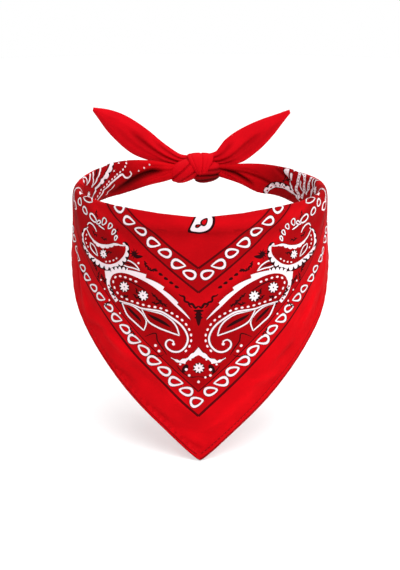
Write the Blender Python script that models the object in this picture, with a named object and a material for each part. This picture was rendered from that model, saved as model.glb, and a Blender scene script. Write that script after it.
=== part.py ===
"""A square cotton bandana folded on its diagonal, rolled along the fold and tied behind a neck.

Metres, +Z up. The origin is the middle of the neck ring, level with its upper edge. The bib hangs at -Y,
the knot is at +Y. Sizes below are in millimetres and MM turns them into metres.

s is the distance along the ring from the middle of the bib, negative on the left (-X) side. A point is
placed by s, by its height z, and by its depth inside the ring's outer face.
"""

import math

import bmesh
import bpy
import numpy as np
from mathutils import Vector

MM = 0.001
GAP = 0.3

# The ring round the neck: outer half width and half depth, and the power of its superellipse.
RING_HALF_X = 92.7
RING_HALF_Y = 76.3
RING_POWER = 2.1

# The bib: a right-angled corner of the square.
TIP_DROP = 182.9
HEM_RISE_LEFT = 0.965
HEM_RISE_RIGHT = 0.945
FLARE = 0.034
CLOTH = 2.0
HEM_EXTRA = 0.6
HEM_WIDTH = 6.0
BIB_END = 181.0

# Rows of the bib's skins: the turned hem, then the cloth above it as shares of its height.
HEM_ROWS = (
    # rise above the edge, most share of the height, swell of each skin
    (0.0, 0.0, -0.45), (0.7, 0.1, HEM_EXTRA / 2), (HEM_WIDTH, 0.35, HEM_EXTRA / 2),
    (HEM_WIDTH + 1.2, 0.45, 0.0),
)
CLOTH_ROWS = (0.11, 0.22, 0.33, 0.44, 0.55, 0.65, 0.74, 0.82, 0.89, 0.94, 0.975)

# The rolled band along the fold. Past the joint the bib is only a leg over the band's outer face.
ROLL_POWER = 2.4
JOINT = 138.0
ROLL_TURNS = (90, 120, 145, 165, 180, 200, 225)
LEG_TOP_ANGLE = math.radians(62)
BAND_ENDS = (-249.5, 254.5)

# Height of the ring's upper edge along s.
UPPER_EDGE = (
    # s, z
    (-268, -6.0), (-250, -5.0), (-240, -2.4), (-229, 0.2), (-211, 2.4), (-195, 2.7), (-180, 1.6),
    (-163, 0.0), (-145, -0.8), (-120, 0.4), (-90, 1.3), (-59, 1.4), (-36, 0.2), (0, -2.2), (27, -0.5),
    (47, 0.9), (67, 1.5), (90, 1.2), (120, 0.2), (147, -1.2), (165, -1.7), (183, -1.7), (200, -1.4),
    (214, -1.4), (226, -2.0), (238, -3.2), (250, -5.0), (268, -6.0),
)

# The band's half height and half thickness along s.
BAND_SIZE = (
    # s, half height, half thickness
    (-262, 3.0, 3.4), (-250, 4.9, 4.4), (-243, 7.2, 5.0), (-229, 9.7, 4.9), (-215, 11.6, 4.7),
    (-200, 13.4, 4.6), (-183, 13.1, 4.5), (-160, 12.3, 4.3), (-138, 11.6, 3.9), (-100, 11.0, 3.4),
    (0, 11.0, 3.4), (100, 11.0, 3.4), (138, 11.6, 3.9), (165, 12.8, 4.3), (190, 13.3, 4.5),
    (206, 11.8, 4.7), (220, 10.2, 4.9), (231, 9.0, 5.0), (243, 6.6, 5.0), (254, 4.6, 4.2),
    (266, 3.0, 3.4),
)

# Soft ridges (+) and troughs (-) of the bib, each a long mound on the cloth.
BIB_FOLDS = (
    # s, z, slope in degrees, half length, half width, height
    (0, -16, 0, 34, 4.5, -1.5),
    (0, -6, 0, 60, 5.0, 0.7),
    (-66, -14, -28, 26, 4.5, -1.1),
    (68, -14, 28, 26, 4.5, -1.1),
    (-98, -22, -52, 30, 5.0, 1.2),
    (99, -22, 52, 30, 5.0, 1.2),
    (-112, -40, -64, 26, 5.0, -1.2),
    (113, -40, 64, 26, 5.0, -1.2),
    (-78, -84, -40, 24, 5.5, -1.4),
    (-62, -96, -34, 26, 5.0, 1.0),
    (76, -88, 50, 26, 5.5, -1.3),
    (60, -104, 42, 28, 5.5, 1.3),
    (-34, -126, -36, 22, 5.0, -1.3),
    (-14, -140, -30, 20, 5.0, 1.1),
    (34, -128, 44, 24, 5.0, 1.4),
    (20, -146, 40, 20, 4.5, -1.2),
    (-6, -160, -16, 16, 4.0, -1.0),
    (-100, -58, -70, 20, 5.0, 1.0),
    (104, -62, 72, 22, 5.0, 1.1),
)

# Valleys of the twisted band. q is the height on its face, from -1 at the lower edge to 1 at the upper.
BAND_VALLEYS = (
    # face, first s, first q, last s, last q, half width, depth
    ("in", -200, -0.95, -243, 0.60, 2.3, 2.8),
    ("in", -212, 0.15, -246, 0.95, 1.8, 1.9),
    ("in", -150, 0.70, -192, -0.75, 2.6, 1.2),
    ("in", 254, 0.35, 224, -0.90, 2.2, 2.7),
    ("in", 232, 0.75, 200, -0.30, 2.1, 2.2),
    ("in", 150, 0.70, 190, -0.70, 2.6, 1.2),
    ("out", -206, 0.80, -246, -0.40, 2.2, 2.2),
    ("out", -216, -0.10, -248, -0.85, 1.8, 1.6),
    ("out", 208, 0.75, 252, -0.30, 2.2, 2.2),
    ("out", 222, -0.20, 252, -0.80, 1.8, 1.6),
)

# The tails: upper and lower edge of each, from root to tip, seen along Y, with the depth of its middle.
TAIL_LEFT = (
    # upper x, upper z, lower x, lower z, middle y, thickness
    (-11.6, 0.2, -11.8, -5.0, 75.5, 4.6),
    (-14.6, 1.2, -17.0, -5.8, 75.5, 4.8),
    (-21.0, 4.8, -26.5, -5.6, 75.5, 4.4),
    (-29.5, 10.8, -38.5, -3.4, 77.0, 3.6),
    (-38.8, 18.5, -49.5, 0.4, 79.0, 3.0),
    (-48.5, 25.2, -57.5, 5.2, 81.0, 2.7),
    (-57.5, 30.2, -64.5, 11.4, 82.5, 2.5),
    (-66.0, 33.3, -71.5, 19.2, 83.5, 2.4),
    (-74.5, 35.2, -77.5, 28.0, 84.0, 2.3),
    (-81.2, 36.0, -81.6, 34.1, 84.0, 1.6),
)
TAIL_RIGHT = (
    # upper x, upper z, lower x, lower z, middle y, thickness
    (10.3, 1.4, 11.0, -4.4, 75.5, 4.6),
    (11.9, 3.4, 15.0, -5.4, 75.5, 4.8),
    (15.0, 6.8, 23.0, -6.0, 75.5, 4.4),
    (19.5, 12.2, 33.0, -4.2, 77.0, 3.6),
    (26.5, 17.4, 42.0, 1.8, 79.0, 3.0),
    (35.0, 21.9, 50.0, 8.9, 81.0, 2.7),
    (45.0, 26.2, 57.5, 17.2, 82.5, 2.5),
    (55.5, 29.9, 63.0, 24.8, 83.5, 2.4),
    (63.2, 32.6, 66.4, 29.6, 84.0, 2.3),
    (68.2, 34.3, 68.8, 32.4, 84.0, 1.6),
)
TAIL_DISH = 2.6

# The knot: a strap that goes once round its waist, and the two lobes that bulge out beside it.
KNOT_CENTRE = (0.5, 73.0, -8.0)
STRAP_THICKNESS = 4.2
STRAP = (
    # turn in degrees from the front, radius, middle x, half width
    (-75, 6.0, 1.5, 3.8), (-45, 6.8, 1.4, 4.0), (-20, 8.2, 1.2, 4.8), (10, 8.6, 0.6, 6.6),
    (40, 8.6, 0.1, 8.8), (70, 8.6, -0.4, 10.0), (90, 8.7, -0.5, 10.2), (115, 8.6, -0.4, 9.6),
    (150, 8.2, 0.0, 8.0), (190, 8.0, 0.6, 7.0), (225, 7.2, 1.2, 5.6), (255, 6.2, 1.5, 4.2),
)
LOBES = (
    # name, centre x, y, z, half x, half y, half z, tilt in degrees, power
    ("knot_left_lobe", -9.8, 71.5, -10.2, 11.4, 8.6, 8.4, 24, 2.3),
    ("knot_right_lobe", 6.6, 72.0, -12.0, 9.6, 8.2, 7.6, -14, 2.3),
)

RED = (0.64, 0.009, 0.016)
DARK_RED = (0.50, 0.006, 0.012)
CLOTH_ROUGHNESS = 0.85


def smooth(low, high, value):
    """0 below low, 1 above high, with a soft step between them."""
    share = np.clip((value - low) / (high - low), 0.0, 1.0)
    return share * share * (3.0 - 2.0 * share)


def ring_table(steps=1440):
    """s, x and y round the ring, from the back over the left side to the back again."""
    turn = np.linspace(-math.pi, math.pi, 2 * steps + 1)
    power = 2.0 / RING_POWER
    x = RING_HALF_X * np.sign(np.sin(turn)) * np.abs(np.sin(turn)) ** power
    y = -RING_HALF_Y * np.sign(np.cos(turn)) * np.abs(np.cos(turn)) ** power
    s = np.concatenate([[0.0], np.cumsum(np.hypot(np.diff(x), np.diff(y)))])
    return s - s[steps], x, y


RING_S, RING_X, RING_Y = ring_table()


def ring_place(s, outward=0.0):
    """The point of the ring at s, moved out along its normal."""
    x, y = np.interp(s, RING_S, RING_X), np.interp(s, RING_S, RING_Y)
    ahead_x, ahead_y = np.interp(s + 1, RING_S, RING_X), np.interp(s + 1, RING_S, RING_Y)
    behind_x, behind_y = np.interp(s - 1, RING_S, RING_X), np.interp(s - 1, RING_S, RING_Y)
    along_x, along_y = ahead_x - behind_x, ahead_y - behind_y
    length = np.hypot(along_x, along_y)
    return x + outward * along_y / length, y - outward * along_x / length


def softened(table, column, width=7.0):
    """A column of a table as a smooth function of s: its straight pieces are averaged over a width."""
    rows = np.array(table, float)
    offsets = np.linspace(-2, 2, 17)
    weights = np.exp(-offsets**2)

    def value(s):
        values = [np.interp(s + width * offset, rows[:, 0], rows[:, column]) for offset in offsets]
        return float(np.dot(weights, values) / weights.sum())

    return value


upper_edge = softened(UPPER_EDGE, 1)
half_height = softened(BAND_SIZE, 1)
half_thickness = softened(BAND_SIZE, 2)


def hem_height(s):
    """Height of the bib's free edge. The corner at the tip is rounded off a little."""
    rise = HEM_RISE_LEFT if s < 0 else HEM_RISE_RIGHT
    return -TIP_DROP + rise * math.hypot(s, 1.5)


def fold_height(s, z):
    """How far the bib's ridges and troughs move the cloth out at this place."""
    total = 0.0
    for at_s, at_z, slope, length, width, height in BIB_FOLDS:
        turn = math.radians(slope)
        along = (s - at_s) * math.cos(turn) + (z - at_z) * math.sin(turn)
        across = (z - at_z) * math.cos(turn) - (s - at_s) * math.sin(turn)
        total += height * math.exp(-((along / length) ** 2) - (across / width) ** 2)
    return total * (1.0 - smooth(JOINT - 18.0, JOINT - 2.0, abs(s)))


def bib_shift(s, z):
    """Flare and folds of the hanging cloth: its distance out from the ring's upright face."""
    below = max(0.0, upper_edge(s) - half_height(s) - z)
    return FLARE * below + fold_height(s, z)


def roll_point(s, angle, inset=0.0):
    """Depth inside the ring's face and height of the roll's skin. The angle is 0 outside, 90 on top."""
    tall, thick = half_height(s), half_thickness(s)
    power = 2.0 / ROLL_POWER
    cosine, sine = math.cos(angle), math.sin(angle)
    across = math.copysign(abs(cosine) ** power, cosine) * (thick - inset)
    up = math.copysign(abs(sine) ** power, sine) * (tall - inset)
    return thick - across, upper_edge(s) - tall + up


def skin_angle(s, z):
    """The roll's angle at height z on its outer face, or 0 below its middle."""
    share = (z - upper_edge(s) + half_height(s)) / half_height(s)
    return math.asin(min(1.0, max(0.0, share)) ** (ROLL_POWER / 2.0))


def ring_point(s, depth, z, shift=0.0):
    x, y = ring_place(s, shift - depth)
    return Vector((x * MM, y * MM, z * MM))


def new_collection(name):
    collection = bpy.data.collections.new(name)
    bpy.context.scene.collection.children.link(collection)
    return collection


def cloth_material(name, colour):
    material = bpy.data.materials.new(name)
    material.use_nodes = True
    shader = material.node_tree.nodes["Principled BSDF"]
    shader.inputs["Base Color"].default_value = (*colour, 1.0)
    shader.inputs["Roughness"].default_value = CLOTH_ROUGHNESS
    shader.inputs["Metallic"].default_value = 0.0
    material.diffuse_color = (*colour, 1.0)
    return material


def loft(name, collection, colour, sections, ring=False):
    """A closed solid through sections of equal, even point count, joined in a ring or capped at both ends.

    A cap joins each point of a section's first half to its partner in the second half.
    """
    mesh = bmesh.new()
    rows = [[mesh.verts.new(point) for point in section] for section in sections]
    count = len(rows[0])
    pairs = list(zip(rows, rows[1:]))
    if ring:
        pairs.append((rows[-1], rows[0]))
    for row, following in pairs:
        for i in range(count):
            j = (i + 1) % count
            mesh.faces.new((row[i], row[j], following[j], following[i]))
    for row in () if ring else (rows[0], rows[-1]):
        for i in range(count // 2 - 1):
            mesh.faces.new((row[i], row[i + 1], row[count - 2 - i], row[count - 1 - i]))
    bmesh.ops.triangulate(mesh, faces=mesh.faces[:])
    bmesh.ops.recalc_face_normals(mesh, faces=mesh.faces[:])
    data = bpy.data.meshes.new(name)
    mesh.to_mesh(data)
    mesh.free()
    data.shade_smooth()
    solid = bpy.data.objects.new(name, data)
    data.materials.append(cloth_material(name + "_cloth", colour))
    collection.objects.link(solid)
    return solid


def cut_away(solid, cutter):
    cut = solid.modifiers.new("clear_of_" + cutter.name, "BOOLEAN")
    cut.operation = "DIFFERENCE"
    cut.object = cutter


def skin_rows(s, top, inset):
    """Depth and height of one skin of the hanging cloth, from the hem up. The turned hem is thicker."""
    hem = hem_height(s)
    heights = [hem + min(rise, share * (top - hem)) for rise, share, _ in HEM_ROWS]
    first = heights[-1]
    heights += [first + (top - first) * share for share in CLOTH_ROWS]
    swells = [swell for _, _, swell in HEM_ROWS] + [0.0] * len(CLOTH_ROWS)
    rows = []
    for z, swell in zip(heights, swells):
        angle = skin_angle(s, z)
        depth, skin_z = roll_point(s, angle, inset) if angle > 0.0 else (inset, z)
        rows.append((depth + (swell if inset else -swell), skin_z))
    return rows


def bib_section(s):
    """Outline of the bib across s: its face up from the hem, over the top, and its back down again."""
    bottom = upper_edge(s) - 2 * half_height(s)
    if abs(s) <= JOINT:
        top = upper_edge(s)
        back_top = bottom + 2.4
        over = [roll_point(s, math.radians(turn)) for turn in ROLL_TURNS]
        under = half_thickness(s) * 2 - 1.0
        layer = (CLOTH + under) / 2
        over += [(under - 0.5, bottom + 0.9), (layer + 0.7, bottom + 0.15), (layer - 0.1, bottom + 0.8),
                 (layer - 0.4, bottom + 2.6), (CLOTH + 0.6, bottom + 3.5)]
    else:
        outer, inner = (np.array(roll_point(s, LEG_TOP_ANGLE, inset)) for inset in (0.0, CLOTH))
        top = back_top = outer[1]
        half = (outer - inner) / 2
        beyond = np.array((half[1], -half[0]))
        turns = np.linspace(0.0, math.pi, 13)[:-1]
        over = [tuple((outer + inner) / 2 + math.cos(turn) * half + math.sin(turn) * beyond) for turn in turns]
    return skin_rows(s, top, 0.0) + over + list(reversed(skin_rows(s, back_top, CLOTH)))


def bib_stations():
    """Where the bib's sections stand: close at the tip, at the joint and at the pointed ends."""
    half = [0, 3, 8, 15, 23, 31, 39, 47, 55, 63, 71, 79, 87, 95, 103, 111, 119, 127, 133, JOINT,
            JOINT + 0.25, 144, 151, 158, 165, 171, 176.5, BIB_END]
    return [-s for s in reversed(half[1:])] + half


def make_bib(collection):
    sections = [
        [ring_point(s, depth, z, bib_shift(s, z)) for depth, z in bib_section(s)] for s in bib_stations()
    ]
    return loft("bib", collection, RED, sections)


def valley_depth(s, angle):
    """How far the band's diagonal valleys press its skin in at this place."""
    face = "out" if math.cos(angle) > 0 else "in"
    q = math.copysign(abs(math.sin(angle)) ** (2.0 / ROLL_POWER), math.sin(angle))
    total = 0.0
    for side, s0, q0, s1, q1, width, depth in BAND_VALLEYS:
        share = (s - s0) / (s1 - s0)
        if side != face or not -0.25 < share < 1.25:
            continue
        distance = (q - q0 - (q1 - q0) * share) * half_height(s)
        ends = smooth(-0.25, 0.12, share) * (1.0 - smooth(0.95, 1.25, share))
        total += depth * ends * math.exp(-((distance / width) ** 2)) * math.cos(angle) ** 2
    return total


def band_point(s, angle):
    """A point on the rolled band. Under the bib's leg its outer face stands back by the cloth."""
    covered = 1.0 - smooth(BIB_END + 0.5, BIB_END + 9.0, abs(s))
    outer = smooth(-1.75, -1.35, angle) * (1.0 - smooth(LEG_TOP_ANGLE + 0.17, LEG_TOP_ANGLE + 0.6, angle))
    inset = (CLOTH + HEM_EXTRA / 2 + 1.5 * GAP) * covered * outer + valley_depth(s, angle)
    depth, z = roll_point(s, angle, inset)
    return ring_point(s, depth, z)


def make_band(name, collection, start, end):
    """The rolled stretch from the joint beside the bib to the knot."""
    count = int(abs(end - start) / 5.2)
    turns = [math.radians(-180 + 360 * i / 28) for i in range(28)]
    sections = [
        [band_point(start + (end - start) * row / count, angle) for angle in turns]
        for row in range(count + 1)
    ]
    return loft(name, collection, DARK_RED, sections)


def between_rows(rows, station):
    """The row at a fractional station, on a smooth curve through the table's rows."""
    first = min(int(station), len(rows) - 2)
    share = station - first
    before, start, end, after = (
        rows[min(max(index, 0), len(rows) - 1)] for index in range(first - 1, first + 3))
    bend = 2 * before - 5 * start + 4 * end - after
    twist = 3 * (start - end) + after - before
    return start + 0.5 * share * (end - before + share * (bend + share * twist))


def tail_sections(table, spread=0.0):
    """Flat closed sections of a tail, dished towards the front, with a fold along it near the root."""
    rows = np.array(table, float)
    rows[0, [0, 2]] -= math.copysign(spread, rows[0, 0])
    stations = np.linspace(0, len(rows) - 1, 2 * len(rows) - 1)
    sections = []
    for station in stations:
        upper_x, upper_z, lower_x, lower_z, middle, thick = between_rows(rows, station)
        near_root = smooth(0.0, 1.5, station) * (1.0 - smooth(1.5, 6.0, station))
        outline = []
        width = math.hypot(upper_x - lower_x, upper_z - lower_z)
        beyond = spread / width
        for side, shares in ((-1, np.linspace(0, 1, 8)), (1, np.linspace(1, 0, 8))):
            for share in shares:
                edge = 4 * share * (1 - share)
                half = (0.35 + 0.65 * edge**0.5) * (thick / 2 + spread)
                dish = TAIL_DISH * (0.55 - edge) * smooth(0.5, 3.0, station) * smooth(1.0, 14.0, width)
                fold = -0.18 * thick * near_root * math.sin(share * math.tau * 1.5)
                wide = share * (1 + 2 * beyond) - beyond
                x = upper_x + (lower_x - upper_x) * wide
                z = upper_z + (lower_z - upper_z) * wide
                outline.append(Vector((x, middle + side * half + dish + fold * (side < 0), z)) * MM)
        sections.append(outline)
    return sections


def strap_sections(spread=0.0):
    """Sections of the strap round the knot: a lens, thick in the middle, with a crease on its outside."""
    table = np.array(STRAP, float)
    wrapped = np.vstack([table, table[0] + (360, 0, 0, 0)])
    centre = Vector(KNOT_CENTRE)
    sections = []
    for turn in np.linspace(STRAP[0][0], STRAP[0][0] + 360, 33)[:-1]:
        radius, middle, half = (np.interp(turn, wrapped[:, 0], wrapped[:, column]) for column in (1, 2, 3))
        out = Vector((0.0, -math.cos(math.radians(turn)), math.sin(math.radians(turn))))
        outline = []
        for side, shares in ((1, np.linspace(-1, 1, 9)), (-1, np.linspace(1, -1, 9)[1:-1])):
            for share in shares:
                lens = (1.0 - abs(share) ** 2.6) ** 0.5
                crease = 0.7 * math.exp(-((share - 0.1) / 0.16) ** 2) if side > 0 else 0.0
                rise = side * lens * (STRAP_THICKNESS / 2 + spread) - crease
                across = middle + share * (half + spread)
                outline.append((centre + Vector((across, 0, 0)) + out * (radius + rise)) * MM)
        sections.append(outline)
    return sections


def lobe_solid(name, collection, row, spread=0.0):
    """A soft lobe of the knot: a superellipsoid, tilted in the plane seen from the front."""
    x, y, z, half_x, half_y, half_z, tilt, power = row
    mesh = bmesh.new()
    bmesh.ops.create_uvsphere(mesh, u_segments=24, v_segments=14, radius=1.0)
    lean = math.radians(tilt)
    for vert in mesh.verts:
        share = [math.copysign(abs(part) ** (2.0 / power), part) for part in vert.co]
        across = share[0] * (half_x + spread)
        up = share[2] * (half_z + spread)
        pleat = 0.35 * math.sin(9.0 * share[2] + 2.0) * (1.0 - share[2] ** 2)
        vert.co = Vector((
            x + across * math.cos(lean) - up * math.sin(lean),
            y + share[1] * (half_y + spread - pleat),
            z + across * math.sin(lean) + up * math.cos(lean),
        )) * MM
    bmesh.ops.triangulate(mesh, faces=mesh.faces[:])
    data = bpy.data.meshes.new(name)
    mesh.to_mesh(data)
    mesh.free()
    data.shade_smooth()
    solid = bpy.data.objects.new(name, data)
    data.materials.append(cloth_material(name + "_cloth", RED))
    collection.objects.link(solid)
    return solid


def main():
    for old in list(bpy.data.objects):
        bpy.data.objects.remove(old, do_unlink=True)
    bandana = new_collection("bandana")
    cutters = new_collection("cutters")
    cutters.hide_render = True

    make_bib(bandana)
    bands = [
        make_band("band_left", bandana, -JOINT - 0.25 - GAP, BAND_ENDS[0]),
        make_band("band_right", bandana, JOINT + 0.25 + GAP, BAND_ENDS[1]),
    ]
    loft("knot_strap", bandana, RED, strap_sections(), ring=True)
    lobes = [lobe_solid(row[0], bandana, row[1:]) for row in LOBES]
    loft("tail_left", bandana, RED, tail_sections(TAIL_LEFT))
    loft("tail_right", bandana, RED, tail_sections(TAIL_RIGHT))

    strap_cutter = loft("strap_cutter", cutters, RED, strap_sections(1.5 * GAP), ring=True)
    lobe_cutters = [lobe_solid(row[0] + "_cutter", cutters, row[1:], GAP) for row in LOBES]
    tail_cutters = [
        loft("tail_left_cutter", cutters, RED, tail_sections(TAIL_LEFT[:7], GAP)),
        loft("tail_right_cutter", cutters, RED, tail_sections(TAIL_RIGHT[:7], GAP)),
    ]
    for cutter in (strap_cutter, *lobe_cutters, *tail_cutters):
        cutter.hide_render = True
        cutter.display_type = "WIRE"
    for lobe, tail_cutter in zip(lobes, tail_cutters):
        cut_away(lobe, strap_cutter)
        cut_away(lobe, tail_cutter)
    cut_away(lobes[1], lobe_cutters[0])
    for band, lobe_cutter, tail_cutter in zip(bands, lobe_cutters, tail_cutters):
        cut_away(band, lobe_cutter)
        cut_away(band, tail_cutter)


main()
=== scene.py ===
"""Looks of the bandana: printed cotton, its folds, hems, stitches, knot, floor, light and camera.

The frame is in metres, +Z up, with its origin at the middle of the neck ring. Sizes below are in millimetres
and MM turns them into metres. s is the distance along the ring from the middle of the bib, negative on the
left. t is the distance down the cloth from the level of the origin, w the distance round the roll's skin from
its outer middle line, up over the top and down the inside, and lift the distance out from the cloth's skin.
"""

import math

import bpy
import numpy as np
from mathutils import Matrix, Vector, geometry


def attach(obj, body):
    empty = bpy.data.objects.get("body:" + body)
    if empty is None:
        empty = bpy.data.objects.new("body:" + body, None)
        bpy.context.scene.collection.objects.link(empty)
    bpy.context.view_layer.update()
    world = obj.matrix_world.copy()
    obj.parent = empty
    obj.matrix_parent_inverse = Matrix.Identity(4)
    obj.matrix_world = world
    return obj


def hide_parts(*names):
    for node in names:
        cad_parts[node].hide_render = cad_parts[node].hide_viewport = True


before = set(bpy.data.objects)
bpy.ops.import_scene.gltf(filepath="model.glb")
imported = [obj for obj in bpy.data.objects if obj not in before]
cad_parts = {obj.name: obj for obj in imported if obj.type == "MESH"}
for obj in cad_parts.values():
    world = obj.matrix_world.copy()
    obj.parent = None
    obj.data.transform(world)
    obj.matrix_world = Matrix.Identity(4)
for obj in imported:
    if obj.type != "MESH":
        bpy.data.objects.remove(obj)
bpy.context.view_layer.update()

MM = 0.001
BODY = "root"

# ---------------------------------------------------------------- sizes that the CAD source states too
RING_HALF_X = 92.7
RING_HALF_Y = 76.3
RING_POWER = 2.1
TIP_DROP = 182.9
HEM_RISE_LEFT = 0.965
HEM_RISE_RIGHT = 0.945
FLARE = 0.034
ROLL_POWER = 2.4
JOINT = 138.0
LEG_END = 181.0
LEG_TOP_ANGLE = math.radians(62)

UPPER_EDGE = (
    # s, z
    (-268, -6.0), (-250, -5.0), (-240, -2.4), (-229, 0.2), (-211, 2.4), (-195, 2.7), (-180, 1.6),
    (-163, 0.0), (-145, -0.8), (-120, 0.4), (-90, 1.3), (-59, 1.4), (-36, 0.2), (0, -2.2), (27, -0.5),
    (47, 0.9), (67, 1.5), (90, 1.2), (120, 0.2), (147, -1.2), (165, -1.7), (183, -1.7), (200, -1.4),
    (214, -1.4), (226, -2.0), (238, -3.2), (250, -5.0), (268, -6.0),
)
BAND_SIZE = (
    # s, half height, half thickness
    (-262, 3.0, 3.4), (-250, 4.9, 4.4), (-243, 7.2, 5.0), (-229, 9.7, 4.9), (-215, 11.6, 4.7),
    (-200, 13.4, 4.6), (-183, 13.1, 4.5), (-160, 12.3, 4.3), (-138, 11.6, 3.9), (-100, 11.0, 3.4),
    (0, 11.0, 3.4), (100, 11.0, 3.4), (138, 11.6, 3.9), (165, 12.8, 4.3), (190, 13.3, 4.5),
    (206, 11.8, 4.7), (220, 10.2, 4.9), (231, 9.0, 5.0), (243, 6.6, 5.0), (254, 4.6, 4.2),
    (266, 3.0, 3.4),
)
BIB_FOLDS = (
    # s, z, slope in degrees, half length, half width, height
    (0, -16, 0, 34, 4.5, -1.5),
    (0, -6, 0, 60, 5.0, 0.7),
    (-66, -14, -28, 26, 4.5, -1.1),
    (68, -14, 28, 26, 4.5, -1.1),
    (-98, -22, -52, 30, 5.0, 1.2),
    (99, -22, 52, 30, 5.0, 1.2),
    (-112, -40, -64, 26, 5.0, -1.2),
    (113, -40, 64, 26, 5.0, -1.2),
    (-78, -84, -40, 24, 5.5, -1.4),
    (-62, -96, -34, 26, 5.0, 1.0),
    (76, -88, 50, 26, 5.5, -1.3),
    (60, -104, 42, 28, 5.5, 1.3),
    (-34, -126, -36, 22, 5.0, -1.3),
    (-14, -140, -30, 20, 5.0, 1.1),
    (34, -128, 44, 24, 5.0, 1.4),
    (20, -146, 40, 20, 4.5, -1.2),
    (-6, -160, -16, 16, 4.0, -1.0),
    (-100, -58, -70, 20, 5.0, 1.0),
    (104, -62, 72, 22, 5.0, 1.1),
)

# Creases that only the looks have, on the bib. Positive heights stand out.
BIB_CREASES = (
    # s, z, slope in degrees, half length, half width, height
    (-103, -61, -70, 10, 2.2, -1.28),
    (-96, -70, -62, 14, 2.6, 0.88),
    (-78, -91, -6, 13, 2.2, -0.96),
    (-60, -99, -34, 24, 3.4, 1.52),
    (-70, -110, -46, 16, 2.0, -0.80),
    (-57, -120, -30, 10, 2.2, -1.12),
    (-28, -148, -38, 11, 2.0, -1.12),
    (-14, -136, -40, 12, 3.0, 1.20),
    (-5, -170, -30, 8, 2.2, -0.96),
    (21, -145, 41, 26, 3.4, 1.52),
    (10, -158, 30, 12, 2.2, -0.80),
    (43, -123, 13, 13, 3.0, 1.20),
    (50, -128, 44, 14, 2.0, -0.88),
    (62, -106, 35, 11, 2.2, -1.28),
    (87, -78, 52, 13, 2.8, 1.20),
    (98, -76, 56, 13, 2.0, -0.88),
    (112, -52, 66, 14, 2.0, 0.72),
    (-36, -28, 8, 26, 3.0, 0.56),
    (38, -30, -12, 28, 3.0, -0.48),
    (52, -58, 22, 24, 2.6, 0.45),
    (-46, -60, -18, 24, 2.6, -0.45),
    (24, -78, 40, 22, 2.6, 0.40),
    (-20, -92, -36, 20, 2.6, 0.40),
    (-40, -15, 2, 44, 5.0, -0.95),
    (42, -15, -3, 44, 5.0, -0.95),
    (0, -7, 0, 90, 4.0, 0.35),
)


def slight_wrinkles(count=110, seed=11):
    """Rows as above for faint wrinkles, which fan down from the sides to the tip."""
    chance = np.random.default_rng(seed)
    rows = []
    for _ in range(count):
        s = chance.uniform(-116, 116)
        z = -chance.uniform(8, max(12.0, TIP_DROP - 0.95 * abs(s) - 6))
        slope = math.copysign(chance.uniform(15, 62), s) + chance.uniform(-14, 14)
        width = chance.uniform(1.4, 4.0)
        height = chance.choice((-1, 1)) * chance.uniform(0.05, 0.12) * width
        rows.append((s, z, slope, chance.uniform(6, 20), width, height))
    return tuple(rows)


# Pleats of the twisted bands. q is the height on the band's face, from -1 at its lower edge to 1 at its
# upper. Above the pleat's line the cloth falls away over the long width, below it over the short one.
BAND_PLEATS = (
    # face, first s, first q, last s, last q, width above, width below, depth
    ("in", -184, -1.22, -230, 0.00, 5.2, 1.5, 6.0),
    ("in", -226, -0.12, -249, 0.42, 1.5, 0.8, 1.4),
    ("in", -222, 0.62, -250, 0.86, 1.6, 0.9, 1.6),
    ("in", -150, 0.70, -192, -0.75, 2.6, 1.2, 1.2),
    ("in", -160, 0.95, -186, 0.10, 1.6, 0.8, 0.8),
    ("in", -172, 0.95, -204, 0.20, 1.8, 0.8, 0.8),
    ("in", -222, -0.60, -249, 0.10, 1.4, 0.7, 0.9),
    ("in", 254, 0.62, 226, -0.75, 3.0, 1.2, 4.6),
    ("in", 238, 0.34, 206, -0.30, 2.4, 1.0, 2.4),
    ("in", 205, 0.92, 190, 0.30, 4.0, 1.4, 3.2),
    ("in", 252, 0.98, 222, 0.40, 1.4, 0.7, 1.0),
    ("in", 254, 0.10, 238, -0.80, 1.4, 0.7, 1.2),
    ("in", 150, 0.70, 190, -0.70, 2.6, 1.2, 1.2),
    ("in", 160, 0.95, 188, 0.05, 1.6, 0.8, 0.8),
    ("out", -206, 0.80, -246, -0.40, 2.4, 0.9, 2.2),
    ("out", -216, -0.10, -248, -0.85, 2.0, 0.8, 1.6),
    ("out", -196, 0.30, -232, -0.70, 1.6, 0.8, 0.8),
    ("out", 208, 0.75, 252, -0.30, 2.4, 0.9, 2.2),
    ("out", 222, -0.20, 252, -0.80, 2.0, 0.8, 1.6),
    ("out", 198, 0.35, 236, -0.60, 1.6, 0.8, 0.8),
)
# Bumps of the bands' lower edges.
BAND_BUMPS = (
    # s, reach, height
    (221, 10, 2.7),
    (196, 9, -0.9),
    (-214, 10, 0.7),
)


# ---------------------------------------------------------------- the cloth's form
def smooth(low, high, value):
    """0 below low, 1 above high, with a soft step between them."""
    share = np.clip((value - low) / (high - low), 0.0, 1.0)
    return share * share * (3.0 - 2.0 * share)


def bell(value, width):
    """1 where the value is 0, falling away over the width."""
    return np.exp(-((value / width) ** 2))


def signed_power(value, power):
    return np.sign(value) * np.abs(value) ** power


def columns(*parts):
    return np.stack(parts, axis=-1)


def run_along(x, y):
    """The distance along a path at each of its points."""
    return np.concatenate([[0.0], np.cumsum(np.hypot(np.diff(x), np.diff(y)))])


def ring_table(steps=1440):
    """s, x and y round the ring, from the back over the left side to the back again."""
    turn = np.linspace(-math.pi, math.pi, 2 * steps + 1)
    x = RING_HALF_X * signed_power(np.sin(turn), 2.0 / RING_POWER)
    y = -RING_HALF_Y * signed_power(np.cos(turn), 2.0 / RING_POWER)
    s = run_along(x, y)
    return s - s[steps], x, y


RING_S, RING_X, RING_Y = ring_table()


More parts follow.
